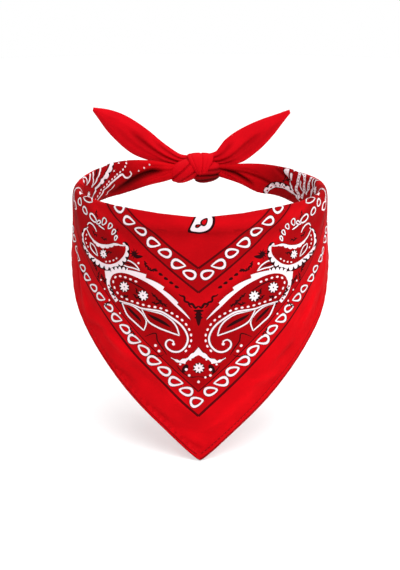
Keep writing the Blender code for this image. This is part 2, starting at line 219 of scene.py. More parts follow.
def ring_place(s, outward):
    """The point of the ring at s, moved out along its normal."""
    x, y = np.interp(s, RING_S, RING_X), np.interp(s, RING_S, RING_Y)
    along_x = np.interp(s + 1, RING_S, RING_X) - np.interp(s - 1, RING_S, RING_X)
    along_y = np.interp(s + 1, RING_S, RING_Y) - np.interp(s - 1, RING_S, RING_Y)
    length = np.hypot(along_x, along_y)
    return x + outward * along_y / length, y - outward * along_x / length


S_GRID = np.arange(-268.0, 268.1, 1.0)


def softened(table, column, width=7.0):
    """A column of a table as a smooth function of s: its straight pieces are averaged over a width."""
    rows = np.array(table, float)
    offsets = np.linspace(-2, 2, 17)
    weights = np.exp(-offsets**2)
    values = sum(
        weight * np.interp(S_GRID + width * offset, rows[:, 0], rows[:, column])
        for offset, weight in zip(offsets, weights)) / weights.sum()
    return lambda s: np.interp(s, S_GRID, values)


upper_edge = softened(UPPER_EDGE, 1)
half_height = softened(BAND_SIZE, 1)
half_thickness = softened(BAND_SIZE, 2)


def roll_middle(s):
    return upper_edge(s) - half_height(s)


BIB_WRINKLES = BIB_CREASES + slight_wrinkles()
W_STEP = 0.5
W_GRID = np.arange(-60.0, 100.1, W_STEP)


def roll_tables(step=2.0):
    """Depth, rise above the middle and angle of the roll's skin, for each s of the grid and each w.

    The last result is the whole way round the roll at each s. step is in degrees.
    """
    angle = np.radians(np.arange(-300.0, 541.0, step))
    across = signed_power(np.cos(angle), 2.0 / ROLL_POWER)
    up = signed_power(np.sin(angle), 2.0 / ROLL_POWER)
    start = int(np.argmin(np.abs(angle)))
    full_turn = start + int(360 / step)
    rows, rounds = [], []
    for s in S_GRID:
        tall, thick = half_height(s), half_thickness(s)
        arc = run_along(across * thick, up * tall)
        arc -= arc[start]
        rows.append([np.interp(W_GRID, arc, skin) for skin in (thick - across * thick, up * tall, angle)])
        rounds.append(arc[full_turn])
    return (*np.array(rows).transpose(1, 0, 2), np.array(rounds))


ROLL_DEPTH, ROLL_RISE, ROLL_ANGLE, ROLL_ROUND = roll_tables()


def from_table(table, s, w):
    """The table's value at s and w, between its four nearest places."""
    row = np.clip(s - S_GRID[0], 0, len(S_GRID) - 1.001)
    column = np.clip((w - W_GRID[0]) / W_STEP, 0, len(W_GRID) - 1.001)
    i, j = row.astype(int), column.astype(int)
    a, b = row - i, column - j
    return ((table[i, j] * (1 - a) + table[i + 1, j] * a) * (1 - b)
            + (table[i, j + 1] * (1 - a) + table[i + 1, j + 1] * a) * b)


def roll_skin(s, w):
    """Depth, height and outward direction (depth, height) of the roll's skin."""
    depth, rise = from_table(ROLL_DEPTH, s, w), from_table(ROLL_RISE, s, w)
    ahead, climb = (from_table(table, s, w + W_STEP) - from_table(table, s, w - W_STEP)
                    for table in (ROLL_DEPTH, ROLL_RISE))
    length = np.hypot(ahead, climb)
    return depth, roll_middle(s) + rise, -climb / length, ahead / length


def w_at_angle(s, degrees):
    """Where round the roll its skin has this angle."""
    rows = np.clip(np.round(np.atleast_1d(s) - S_GRID[0]).astype(int), 0, len(S_GRID) - 1)
    wanted = np.broadcast_to(np.radians(degrees), rows.shape)
    found = [np.interp(angle, ROLL_ANGLE[row], W_GRID) for row, angle in zip(rows, wanted)]
    return np.array(found)


def mounds(table, s, z):
    """The sum of a table's long mounds at this place."""
    total = np.zeros_like(s)
    for at_s, at_z, slope, length, width, height in table:
        turn = math.radians(slope)
        along = (s - at_s) * math.cos(turn) + (z - at_z) * math.sin(turn)
        across = (z - at_z) * math.cos(turn) - (s - at_s) * math.sin(turn)
        total += height * np.exp(-((along / length) ** 2) - (across / width) ** 2)
    return total


def bib_place(s, t, lift):
    """A point of the bib's cloth: it hangs upright below the roll and follows its skin above."""
    w = -t - roll_middle(s)
    hanging = w < 0.0
    depth, z, out_depth, out_z = (
        np.where(hanging, plain, rolled)
        for plain, rolled in zip((0.0, -t, -1.0, 0.0), roll_skin(s, np.maximum(w, 0.0))))
    below = np.maximum(0.0, upper_edge(s) - 2 * half_height(s) - z)
    faded = 1.0 - smooth(JOINT - 18.0, JOINT - 2.0, np.abs(s))
    shift = FLARE * below + mounds(BIB_FOLDS, s, z) * faded
    lift = lift + mounds(BIB_WRINKLES, s, z) * faded * hanging
    x, y = ring_place(s, shift - depth - lift * out_depth)
    return columns(x, y, z + lift * out_z) * MM


def pleat_depth(s, w):
    """How far the band's diagonal pleats press its skin in at this place."""
    angle = from_table(ROLL_ANGLE, s, w)
    cosine, sine = np.cos(angle), np.sin(angle)
    q = signed_power(sine, 2.0 / ROLL_POWER)
    total = np.zeros_like(s)
    for side, s0, q0, s1, q1, above, under, depth in BAND_PLEATS:
        share = (s - s0) / (s1 - s0)
        distance = (q - q0 - (q1 - q0) * share) * half_height(s)
        ends = smooth(-0.25, 0.12, share) * (1.0 - smooth(0.95, 1.25, share))
        facing = cosine > 0 if side == "out" else cosine < 0
        total += facing * depth * ends * bell(distance, np.where(distance > 0, above, under)) * cosine**2
    for middle, reach, height in BAND_BUMPS:
        total -= height * bell(s - middle, reach) * np.clip(-sine, 0, 1) ** 3
    return total


# The band's outer face stands back by this much under the bib's legs, and all round under the bib.
LEG_SETBACK = 2.75
TUCK = 0.5


def band_place(s, w, lift):
    """A point of the rolled band. Under the bib's legs its outer face stands back by the cloth."""
    depth, z, out_depth, out_z = roll_skin(s, w)
    angle = from_table(ROLL_ANGLE, s, w)
    covered = 1.0 - smooth(LEG_END + 0.5, LEG_END + 9.0, np.abs(s))
    outer = smooth(-1.75, -1.35, angle) * (1.0 - smooth(LEG_TOP_ANGLE + 0.17, LEG_TOP_ANGLE + 0.6, angle))
    tucked = 1.0 - smooth(JOINT + 2.0, JOINT + 16.0, np.abs(s))
    lift = lift - LEG_SETBACK * covered * outer - pleat_depth(s, w) - TUCK * tucked
    x, y = ring_place(s, -depth - lift * out_depth)
    return columns(x, y, z + lift * out_z) * MM


# ---------------------------------------------------------------- drawing the print on the flat cloth
def between_rows(rows, station):
    """The row at a fractional station, on a smooth curve through the table's rows."""
    first = min(int(station), len(rows) - 2)
    share = station - first
    before, start, end, after = (
        rows[min(max(index, 0), len(rows) - 1)] for index in range(first - 1, first + 3))
    bend = 2 * before - 5 * start + 4 * end - after
    twist = 3 * (start - end) + after - before
    return start + 0.5 * share * (end - before + share * (bend + share * twist))


def path_length(path):
    return float(np.hypot(*np.diff(path, axis=0).T).sum())


def curve(*stops, step=0.8):
    """A smooth path through a few places."""
    rows = np.array(stops, float)
    count = max(8, int(path_length(rows) / step))
    return np.array([between_rows(rows, station) for station in np.linspace(0, len(rows) - 1, count)])


def drawn(path):
    """A path as it is, or a smooth one through a list of places."""
    return path if isinstance(path, np.ndarray) else curve(*path)


def arcs(start, heading, pieces, step):
    """A path of joined arcs: each piece is a length and the degrees that it turns through."""
    x, y = start
    angle = math.radians(heading)
    points = [(x, y)]
    for length, turn in pieces:
        count = max(2, int(math.ceil(length / step)))
        half_turn = math.radians(turn) / count / 2
        for _ in range(count):
            angle += half_turn
            x += math.cos(angle) * length / count
            y += math.sin(angle) * length / count
            angle += half_turn
            points.append((x, y))
    return np.array(points)


def path_sides(path):
    """Unit normals to one side of a path."""
    along = np.gradient(path, axis=0)
    along /= np.maximum(np.hypot(along[:, 0], along[:, 1]), 1e-9)[:, None]
    return columns(-along[:, 1], along[:, 0])


def offset(path, distance):
    return path + path_sides(path) * distance


def path_at(path, distances):
    """Points of a path at these distances from its start, with their headings in degrees."""
    run = run_along(*path.T)
    along = np.gradient(path, axis=0)
    heading = np.degrees(np.unwrap(np.arctan2(along[:, 1], along[:, 0])))
    return [tuple(np.interp(d, run, values) for values in (*path.T, heading)) for d in distances]


def stroke(path, width):
    """A brush stroke along a path. The width is one number or one for each point."""
    half = np.broadcast_to(np.asarray(width, float), (len(path),))[:, None] / 2
    side = path_sides(path)
    return np.vstack([path + side * half, (path - side * half)[::-1]])


def tapered(path, width, first=0.35, last=0.35):
    """A stroke that narrows towards its ends."""
    share = np.linspace(0, 1, len(path))
    ends = np.minimum(first + (1 - first) * share / 0.25, last + (1 - last) * (1 - share) / 0.25)
    return stroke(path, width * np.minimum(1.0, ends))


def edged_band(path, width, teeth, depth, cut, side=1):
    """A band beside a path. Its far edge is cut like a saw, or notched like a comb."""
    dense = resampled(path, np.arange(0, path_length(path), 0.4))
    share = np.linspace(0, 1, len(dense))
    phase = np.mod(share * teeth, 1.0)
    edge = depth * (phase - 0.5) if cut == "saw" else -depth * bell(phase - 0.5, 0.19)
    reach = np.interp(share, np.linspace(0, 1, len(width)), width)
    reach = reach + edge * np.minimum(1.0, reach / max(width))
    return np.vstack([dense, (dense + side * path_sides(dense) * np.maximum(reach, 0.05)[:, None])[::-1]])


def egg(x, y, heading, length, width, point=0.45, count=22):
    """A rounded drop whose narrow end looks along the heading."""
    turn = np.linspace(0, 2 * math.pi, count, endpoint=False)
    along = np.cos(turn) * length / 2
    across = np.sin(turn) * width / 2 * (1 - point * np.cos(turn))
    return rotated(columns(along, across), x, y, heading)


def disc(x, y, radius, count=10):
    return egg(x, y, 0.0, 2 * radius, 2 * radius, 0.0, count)


def spoked(x, y, turn, reach):
    """A closed shape round a place, with its reach at each turn."""
    return columns(x + reach * np.cos(turn), y + reach * np.sin(turn))


def rotated(points, x, y, heading):
    lean = math.radians(heading)
    cosine, sine = math.cos(lean), math.sin(lean)
    along, across = points.T
    return columns(x + along * cosine - across * sine, y + along * sine + across * cosine)


class Print:
    """Inked shapes on the flat cloth, later ones on top. A path is an array, or a list of places to pass."""

    def __init__(self, weight=1.0):
        self.weight = weight
        self.shapes = []

    def add(self, ink, outline):
        self.shapes.append((ink, np.asarray(outline, float)))

    def dark(self, path, width, *ends):
        """A dark stroke that narrows towards its ends."""
        self.add("black", tapered(drawn(path), width, *ends))

    def line(self, path, width, ends=1.0, halo=0.4):
        """A white line with a fine dark edge."""
        path = drawn(path)
        self.dark(path, self.weight * width + 2 * halo, ends, ends)
        self.add("white", tapered(path, self.weight * width, ends, ends))

    def ring(self, x, y, heading, length=9.8, width=7.4, line=1.45, point=0.38):
        """A hollow drop with fine dark edges."""
        for ink, inset in (("black", -0.35), ("white", 0.0), ("black", line), ("red", line + 0.4)):
            self.add(ink, egg(x, y, heading, length - 2 * inset, width - 2 * inset, point, 20))

    def dots(self, path, pitch, width=1.5, length=2.1):
        """Small white ovals along a path."""
        path = drawn(path)
        for x, y, heading in path_at(path, np.arange(0.0, path_length(path), pitch)):
            self.add("white", egg(x, y, heading, length, width, 0.0, 9))

    def spots(self, radius, count, *places):
        """White dots with this count of corners."""
        for x, y in places:
            self.add("white", disc(x, y, radius, count))

    def flower(self, x, y, radius, petals=9):
        turn = np.linspace(0, 2 * math.pi, petals * 6, endpoint=False)
        self.add("black", disc(x, y, radius * 1.02, 18))
        self.add("white", spoked(x, y, turn, radius * (0.80 + 0.20 * np.cos(petals * turn))))
        self.add("black", disc(x, y, radius * 0.15, 8))

    def star(self, x, y, radius, rays):
        turn = np.linspace(0, 2 * math.pi, rays * 2, endpoint=False)
        self.add("black", spoked(x, y, turn, radius * np.where(np.arange(rays * 2) % 2 == 0, 1.0, 0.42)))

    def leaf(self, x, y, heading, length, width, line, veins=True):
        """A pointed leaf in outline, from its stem to its tip."""
        share = np.linspace(0, 1, 15)
        bulge = np.sin(math.pi * share**0.85) * width / 2
        for edge, inset in (("white", 0.0), ("shade", line)):
            reach = np.maximum(bulge - inset, 0.0)
            middle = inset * 1.3 + share * (length - 2.9 * inset)
            sides = np.vstack([columns(middle, reach), columns(middle, -reach)[-2:0:-1]])
            self.add(edge, rotated(sides, x, y, heading))
        if veins:
            core = np.array([(length * 0.25, 0.0), (length * 0.5, 0.35), (length * 0.75, 0.0)])
            self.add("black", rotated(stroke(core, (0.5, 1.1, 0.4)), x, y, heading))

    def bent_leaf(self, start, upper, lower, end, width, vein):
        """A leaf with a dark vein. Its two edges pass the upper and the lower places on their way."""
        edges = [curve(start, *places, end) for places in (upper, lower)]
        self.add("shade", np.vstack([edges[0], edges[1][::-1]]))
        evenly = [resampled(edge, np.linspace(0, path_length(edge), 12)) for edge in edges]
        self.dark((evenly[0] + evenly[1])[2:9] / 2, vein, 0.2, 0.2)
        for edge in edges:
            self.line(edge, width, 0.75, 0.3)

    def twigs(self, *rows):
        """Dark sprigs, wavy stems with short thorns, from rows of x, y, heading, length and width."""
        for x, y, heading, length, width in rows:
            along = np.linspace(0, length, 9)
            stem = columns(along, 0.5 * np.sin(along * 1.6))
            self.add("black", rotated(tapered(stem, width), x, y, heading))
            for share, side in ((0.25, 1), (0.5, -1), (0.75, 1)):
                thorn = np.array([(length * share, 0.0), (length * share + 1.0, side * 1.5)])
                self.add("black", rotated(stroke(thorn, (width, 0.3)), x, y, heading))

    def rope(self, path, width, pitch, hole=0.5):
        """A white band with a row of holes in it."""
        path = drawn(path)
        self.line(path, width)
        for x, y, heading in path_at(path, np.arange(pitch * 0.7, path_length(path) - pitch / 2, pitch)):
            self.add("shade", egg(x, y, heading + 90, width * hole * 1.4, width * hole * 0.9, 0.3, 9))


def resampled(path, distances):
    return np.array([spot[:2] for spot in path_at(path, distances)])


# ---------------------------------------------------------------- the bandana's pattern
# The square's own axes: a runs along a hem from the bib's tip, d runs inward from that hem. Both sides of
# the bib carry the same pattern, mirrored, so it is drawn once with x = |s|.
HEM_SLOPE = 0.955
RULED_LINES = (
    # d on the middle line, d at the far end, last a, width
    (24.4, 26.4, 262.0, 1.75),
    (37.6, 38.4, 262.0, 0.9),
    (90.8, 82.0, 212.0, 1.6),
    (103.6, 92.0, 205.0, 1.6),
)
PRINT_SHIFT = (-1.1, -1.5)
# How far the hem's point is rounded.
TIP_ROUNDING = 1.5


def from_hem(a, d):
    """x and t on the cloth of a place given along and in from the hem."""
    wide = 1.0 / math.sqrt(HEM_SLOPE)
    return (a - d) / math.sqrt(2) * wide, TIP_DROP - (a + d) / math.sqrt(2) / wide


def ruled_lines(ink):
    for near, far, last, width in RULED_LINES:
        path = np.linspace(from_hem(near, near), from_hem(last, far), 30)
        ink.add("line", stroke(path, np.interp(np.arange(30), (0, 15, 29), (1, 0.7, 0.6)) * width))


def drop_rows(ink):
    """Rows of hollow drops along the hems. In each pair one looks outward and one to the middle."""
    for pair in range(11):
        first = 43.7 + 21.5 * pair - 0.35 * min(pair, 7) ** 2 - 4.2 * max(0, pair - 7)
        for half in (0, 1):
            a = first + (9.8 - 0.15 * pair) * half
            hollow_drop(ink, a, 31.9 - 3.6 * smooth(125, 158, a) - 4 * smooth(158, 182, a), half)
    for pair in range(5):
        for half in (0, 1):
            a = 104.9 + 22.6 * pair + 10.2 * half
            hollow_drop(ink, a, 96.2 - 5.2 * smooth(105, 180, a), half)


def hollow_drop(ink, a, d, inward):
    x, t = from_hem(a, d)
    size = 1 - 0.17 * smooth(85, 130, a) * (d < 60) - 0.08 * smooth(120, 160, a)
    if inward:
        ink.ring(x, t, 170, 10.8 * size, 7 * size, 1.6 * size, 0.6)
    else:
        heading = -12 - 22 * smooth(55, 75, a) * (1 - smooth(90, 120, a))
        ink.ring(x, t, heading, 10.2 * size, 7 * size, 1.6 * size, 0.35)


def small_paisley(ink):
    """The bowl-shaped paisley high on the side: a notched rim, a thin inner arc, a flower and dots."""
    middle = curve((89.9, 19.5), (93.9, 23.3), (94.6, 29.5), (92.6, 36), (86.3, 40.4), (78.7, 43.6),
                   (71.9, 45.2), (65.7, 45), (59.7, 42.7), (54.7, 38.5), (51.2, 33.5), (50.4, 29),
                   (51.9, 25.3), (54.9, 24.6))
    rim = offset(middle, 2)
    arc = curve((90.4, 22), (88.4, 24), (84.9, 27.2), (79.4, 29.6), (74.1, 30.4), (67.7, 29.4),
                (61.6, 27.2), (56, 27.4), (52.6, 27))
    dark_widths = (1.2, 2.4, 4.2, 4.6, 4.4, 4.8, 5, 5, 4.6, 3.6, 2)
    white_widths = (0.7, 1.7, 3.4, 3.9, 3.6, 4, 4.3, 4.2, 3.9, 2.9, 1.2)
    ink.add("shade", np.vstack([middle[4:-6], arc[::-1]]))
    ink.add("black", edged_band(rim, dark_widths, 1, 0, "comb", -1))
    ink.add("white", edged_band(rim, white_widths, 17, 2.6, "comb", -1))
    for x, y, heading in path_at(middle, (17, 24, 31)):
        ink.add("black", egg(x, y, heading + 40, 5.4, 1.2, 0, 10))
    ink.line([(89.9, 19.5), (87.6, 17.3), (84.2, 17.3), (81.2, 19.2), (79.2, 22)], 1.1, 0.6, 0.3)
    ink.line(arc, 1.1, 0.5, 0.3)
    ink.add("white", edged_band(arc[12:-6], (0.4, 2, 2.4, 1.8, 0.4), 7, 0.9, "comb", -1))
    ink.dots([(89.6, 26.5), (89.6, 31), (85.6, 36)], 3, 1, 1.6)
    ink.dots([(69, 41.6), (64.7, 40.4), (61.1, 38.4), (58, 35.6)], 3.3, 1.2, 1.6)
    ink.flower(71.6, 36.4, 3.2)
    ink.bent_leaf((85, 31.2), [(84.4, 34.4), (81.2, 37.2)], [(81, 32.6), (78.6, 35.6)], (77.2, 39.2),
                  0.8, 0.6)
    ink.twigs((64, 33.4, 20, 6.5, 1), (75, 25.4, 176, 6.5, 1), (84, 22.2, 150, 6.5, 1))
    for row in ((77.2, 14.6, 35, 5.2, 3), (72, 13, 60, 7, 4.2), (66.8, 15.4, 52, 6, 3.6),
                (63.6, 19.2, 60, 4.8, 3.2), (61.2, 23, 75, 4.2, 2.8)):
        ink.ring(*row, 0.9, 0.3)


def big_paisley(ink):
    """The long paisley below it: a saw-edged back, a dotted line, two flowers, two leaves and a curl."""
    back = curve((57.5, 68.2), (62.2, 63), (65.2, 56.5), (63.8, 51), (58.5, 47.9), (51, 47.3),
                 (42, 49.6), (33, 53.6), (24, 60), (15, 68.6), (5.5, 77.4))
    belly = curve((57.5, 68.4), (47, 69.5), (40.3, 71.2), (32, 71.6), (25, 72.7), (18, 76.8),
                  (12.5, 81), (8.8, 86.2), (7.3, 91.6), (9, 97.2), (13.2, 101), (18.2, 101.2),
                  (22, 98.4), (22.6, 95), (20.3, 92.6), (17.4, 93.6), (17.2, 95.6))
    ink.add("shade", np.vstack([back[::-1], belly[:36]]))
    head, saw = back[27:56], back[54:]
    ink.add("black", edged_band(back[14:56], (3.2, 4.8, 4.8, 4.6), 1, 0, "comb"))
    ink.add("black", edged_band(saw, (4.4, 4.3, 4.1, 3.6, 2.6, 0.5), 4, 2.4, "saw"))
    ink.add("white", edged_band(head, (4.6, 4.6, 4.4, 4.2), 6, 2.3, "comb"))
    ink.add("white", edged_band(saw, (4, 4, 3.8, 3.3, 2.2, 0.2), 4, 2.6, "saw"))
    ink.rope(offset(back[2:26], 1.9), 2.8, 3.4, 0.52)
    ink.add("white", [(65.2, 47.6), (70.4, 48.6), (69.4, 53.8), (66, 56.2), (64.6, 51.6)])
    ink.dark([(57.5, 52.6), (50, 52.6), (43, 55), (37, 58)], 0.9)
    ink.dots([(44.5, 52), (53.5, 50.2), (60, 50.9), (62.8, 55), (60.8, 60.6), (55.8, 64.9),
              (46, 67.3), (35.5, 69), (26, 70), (17.6, 73.4), (10.4, 78.6), (6.2, 85),
              (4.9, 91), (6.2, 97), (10, 102)], 4.25, 1.5, 2.2)
    ink.flower(53.7, 57.4, 3.9)
    ink.flower(39.2, 61.8, 3.9)
    ink.twigs((33.5, 59, 140, 11, 1.2), (47, 62, 152, 7, 1.2), (45, 57, 120, 5, 1.2),
              (28.5, 64.5, 150, 8, 1.2), (33, 66.5, 176, 6, 1.2), (50.6, 63, 30, 4, 1.2))
    ink.twigs(*((*from_hem(a, 42.6), -52, 8, 1.3) for a in (104, 116, 127, 138, 149)))
    ink.bent_leaf((55.2, 69.4), [(47, 70.4), (40, 75), (36.6, 80.5)], [(51.2, 77.4), (45, 82.4)],
                  (38.4, 87.4), 1.1, 2)
    ink.bent_leaf((40.2, 71.6), [(27, 73.6), (19.5, 77.6), (15.2, 82.8)],
                  [(35.4, 80), (28, 84.2), (20.6, 86.8)], (13.2, 89.2), 1.1, 2.4)
    ink.line(belly, 1.35, 0.6, 0.35)
    ink.spots(1.1, 10, belly[-1])
    ink.spots(0.7, 7, (73.5, 56), (70.4, 62.2), (66, 69.5), (57, 77.5))
    ink.twigs((75.5, 49.5, 80, 9, 0.9), (65, 70, 40, 8, 0.9), (50, 86, 130, 8, 0.9))


def oval_chain(ink):
    """Small hollow ovals that lead to a leafy tendril beside the small paisley."""
    for row in ((101, 5.2, 150, 7.2), (92.4, 9.4, 150, 7.6), (82.6, 12.6, 148, 9)):
        ink.ring(*row, 5.4, 1.2, 0.15)
    ink.line([(79.5, 14.6), (76, 17), (71.5, 18.6)], 1, 0.5)
    ink.bent_leaf((98, 1), [(94, -1.4), (89, -1.2)], [(94, 2.4), (89, 2.6)], (85, 1.4),
                  0.9, 0.8)
    ink.twigs((80, 5.5, 100, 6, 1), (60, 15.5, 70, 7, 0.9))
    ink.bent_leaf((57, 40.4), [(51.5, 37.4), (45.6, 39.4)], [(52, 42), (47, 42.4)], (41.6, 43.6),
                  0.95, 1)
    ink.spots(0.8, 8, (42.6, 38.4))


def dark_chain(ink):
    """Dark sprigs in a row beside the inner ruled line, from a star to the blossom on the middle line."""
    ink.star(45.6, 32, 4.2, 9)
    ink.add("black", egg(42.4, 33.6, 190, 6.5, 2.6, 0.4, 10))
    ink.twigs((38.6, 36.4, 122, 7, 1.5), (36, 42.4, 182, 7.5, 1.4))
    for step in range(5):
        ink.add("black", egg(30 - 3.75 * step, 42.2 + 2.85 * step, 158, 3.4, 2, 0.4, 10))
    ink.dark(arcs((13.6, 58.6), 120, [(3, 60), (3, -110), (3, 110), (3, -90), (3, 80)], 0.6), 1.5)
    ink.dark([(7.4, 66.4), (4.2, 65.6), (2.2, 68.4), (0, 67)], 1.8)


def corner_motif(ink):
    """Above the tip: a crown, a flower and dots, with dark curls."""
    crown = curve((19, 106), (15.6, 107.8), (12.7, 108.7), (9, 107.4), (4.6, 104.4), (1.6, 101.8))
    share = np.linspace(0, 1, len(crown))
    lumps = 0.5 + smooth(0.1, 0.36, share) * (1.9 + 1 * np.cos((share - 0.52) * 3.2 * math.tau))
    peak = np.array([(0, 97.7), (3, 101.6), (4.4, 105.6), (0, 103.4)])
    ink.add("black", peak * (1.15, 1) - (0, 0.5))
    ink.add("black", stroke(crown, lumps + 0.7))
    ink.add("white", stroke(crown, lumps))
    ink.add("white", peak)
    ink.spots(0.8, 8, (12.6, 110.6), (9.6, 109.4), (5.6, 106.8))
    ink.dark([(15, 111.5), (11.6, 116), (6, 119.8), (0, 119.6)], 0.8)
    ink.add("black", egg(9.4, 113.9, 60, 7.4, 3.6, 0.2, 14))
    ink.spots(1, 10, (29.9, 97.7), (27.4, 101.6))
    ink.dark([(37.5, 91.8), (30, 88.6), (28.6, 94), (25.2, 99), (22, 104)], 0.9)
    ink.dark(arcs((24.2, 104), 40, [(7, -60), (6, 80)], 0.7), 0.8)


def middle_motifs(ink):
    """What sits on the middle line: a drop at the rolled edge, a dark blossom, a flower and dots."""
    drop = curve((-1, 1.5), (-3.2, 6.1), (-5.4, 10.7), (-4.9, 12.6), (-2.4, 13.1), (1.1, 13.5),
                 (4.9, 12.6), (7.6, 10.7), (9.4, 7.7), (9.8, 4.1), (8.8, 1), (7.1, -1.5), (2.6, -3),
                 (-0.4, -1.5), (-1, 1.5), step=1.2)
    centre = drop.mean(axis=0)
    ink.add("black", centre + (drop - centre) * 1.25)
    ink.add("white", drop)
    for x, y, heading, length, width in ((4.2, 6, -50, 6.6, 4.4), (-0.2, 8.8, -20, 4.6, 2.6)):
        ink.add("black", egg(x, y, heading, length, width, 0.4, 14))
        ink.add("red", egg(x, y, heading, length - 2.4, width - 1.8, 0.4, 10))
    ink.spots(1.05, 10, (-8.4, 114.4), (8.4, 114.4))
    ink.spots(0.95, 10, (-6.4, 118.8), (8.3, 118.8))
    ink.spots(0.8, 10, (4.8, 120.2))
    ink.add("black", egg(0.1, 76, 90, 11.6, 3.8, 0.3, 16))
    for y, reach in ((70.6, 7.4), (73.2, 5.4), (75.8, 6)):
        ink.add("black", egg(0.1, y, 0, reach, 2, 0, 12))
    ink.flower(0.3, 113.2, 3.9)
    ink.spots(1, 10, (0.1, 123.6))
    x, t = from_hem(32.9, 31.3)
    ink.ring(-x, t, -12, 9.8, 7.6, 1.5, 0.5)


def side_motif(ink):
    """Midway along each hem, on the side of the ring: a flower between two leaves and a rope."""
    x, t = from_hem(226, 60)
    ink.flower(x, t, 4.6)
    ink.leaf(x - 5, t + 5, 135, 15, 8, 1)
    ink.leaf(x + 5, t - 5, -45, 15, 8, 1)
    ink.rope(arcs(from_hem(205, 50), -20, [(22, -40)], 0.8), 2.6, 3)
    ink.rope(arcs(from_hem(236, 47), -60, [(18, 30)], 0.8), 2.6, 3)
    ink.leaf(*from_hem(196, 52), -20, 12, 6, 0.9, veins=False)
    for a in (200, 211, 222, 233):
        ink.ring(*from_hem(a, 76), -40, 7.6, 5.2, 1.1)
    ink.twigs((*from_hem(190, 45), -50, 9, 0.8), (*from_hem(214, 68), -30, 9, 0.8))


def hem_lines(ink):
    """Painted shade as dark strokes along the hem's pressed edge and along its line of stitches."""
    x = np.linspace(0.0, 172.0, 120)
    rise = (HEM_RISE_LEFT + HEM_RISE_RIGHT) / 2 * np.hypot(x, TIP_ROUNDING)
    for inset, width in ((0.55, 1.1), (HEM_INSET, 0.8)):
        t = TIP_DROP - rise - inset * math.sqrt(2)
        ink.add("painted_hem_shade", stroke(columns(x, t) - PRINT_SHIFT, width))


def bib_print():
    ink = Print()
    for motif in (hem_lines, ruled_lines, drop_rows, oval_chain, small_paisley, big_paisley, dark_chain,
                  corner_motif, side_motif):
        motif(ink)
    shapes = mirrored(ink.shapes)
    middle = Print()
    middle_motifs(middle)
    return [(name, outline + PRINT_SHIFT) for name, outline in shapes + middle.shapes]


FIELD_DARKENING = 0.40
STRIP_DARKENING = 0.20
BAND_DARKENING = 0.46
FOLD_PAINTED_SHADE = 0.80


def bib_tone(flat):
    """The print's field is dyed darker than the plain margin, and its middle only a little. Painted shade and
    highlight lie on the wrinkles, and a painted highlight lies along the top edge.
    """
    x, t = np.abs(flat[:, 0] - PRINT_SHIFT[0]), flat[:, 1] - PRINT_SHIFT[1]
    wide = 1.0 / math.sqrt(HEM_SLOPE)
    level, down = x * math.sqrt(2) / wide, (TIP_DROP - t) * math.sqrt(2) * wide
    a, d = (level + down) / 2, (down - level) / 2
    inner = d + 0.10 * np.maximum(a - 100.0, 0.0)
    outer_strip = smooth(23.4, 25.6, d) * (0.40 + 0.6 * smooth(37.0, 39.0, d))
    field = outer_strip * (1.0 - smooth(75.0, 84.0, inner))
    inner_strip = smooth(90.0, 92.0, inner) * (1.0 - smooth(102.8, 104.8, inner))
    middle = smooth(80.0, 86.0, inner)
    # Painted light and shade: the wrinkles are darker in their hollows and lighter on their ridges, and a
    # strip just below the top edge is lighter.
    painted_light_and_shade = 1.0 + 0.14 * np.clip(mounds(BIB_WRINKLES, flat[:, 0], -flat[:, 1]), -1.5, 1.2)
    painted_light_and_shade += 0.12 * bell(flat[:, 1] - 4.5, 3.5) * (1.0 - smooth(80.0, 110.0, x))
    return (1.0 - FIELD_DARKENING * field - STRIP_DARKENING * inner_strip - STRIP_DARKENING * middle) * painted_light_and_shade


def band_tone(flat):
    """The bands' print is dark as well, and painted shade darkens their folds."""
    s, w = flat.T
    printed = 1.0 - smooth(200.0, 228.0, np.abs(s) - 0.5 * np.maximum(w - 22.0, 0.0) * (s < 0))
    # Painted shade in the pleats' valleys, deeper where they press in further.
    painted_fold_shade = np.clip(pleat_depth(s, w) / 4.5, 0.0, 1.0) ** 1.3
    return (1.0 - BAND_DARKENING * printed) * (1.0 - FOLD_PAINTED_SHADE * painted_fold_shade)


def mirrored(shapes):
    """The shapes on the right half and their mirror images on the left."""
    return [(ink, outline * (sign, 1)) for sign in (1, -1) for ink, outline in shapes]


def left_band_motifs(ink):
    """The left band's inner face: a saw-edged spray, a row of dots, a line that ends in a curl, leaves."""
    spray = curve((158, 38), (165, 31), (173, 26.6), (182, 22.4), (190, 17), (197, 10))
    ink.add("black", edged_band(offset(spray, -0.9), (0.8, 2.4, 4.6, 5.8, 5, 2.4), 1, 0, "comb"))
    ink.add("white", edged_band(spray, (0.5, 1.4, 3.2, 4.4, 3.6, 1.5), 8, 1.6, "comb"))
    ink.dots([(166, 39), (173, 35), (181, 31.4), (190, 28), (199, 24.4), (204.6, 20.4),
              (208, 14)], 3.3, 1.5, 1.9)
    ink.line([(169, 42), (176, 37.2), (185, 32.4), (194, 28.8), (201, 26.4), (203.6, 28.8),
              (207.6, 29.4), (210, 26.8), (208.6, 24.2)], 1.1, 0.6, 0.3)
    ink.line([(184, 39.5), (189, 36.6), (193, 33)], 0.7, 0.4, 0)
    ink.bent_leaf((183, 9), [(180, 16), (173, 21.6)], [(175, 12), (168, 18)], (164, 26),
                  1, 1.6)
    ink.bent_leaf((170, 8), [(168, 13), (162, 18)], [(163, 10), (158, 14)], (155, 21),
                  1, 1.2)
    ink.ring(188.5, 13, 120, 7, 4, 1, 0.3)
    ink.ring(177, 6.5, 150, 7, 4.4, 1, 0.3)
    ink.line([(205, 13.4), (210, 11.6), (216, 10.8), (220.5, 9)], 1.5, 0.5, 0.3)
    ink.flower(155, 29, 3.2)
    ink.flower(150, 15, 3)
    ink.spots(0.75, 8, (193, 22.4), (199.5, 17), (201, 12), (217, 23.5), (222, 20.5),
              (227, 17))
    ink.twigs((176, 44, -25, 10, 0.9))
    ink.rope([(146, 40), (152, 37), (158, 41)], 2.4, 2.8)


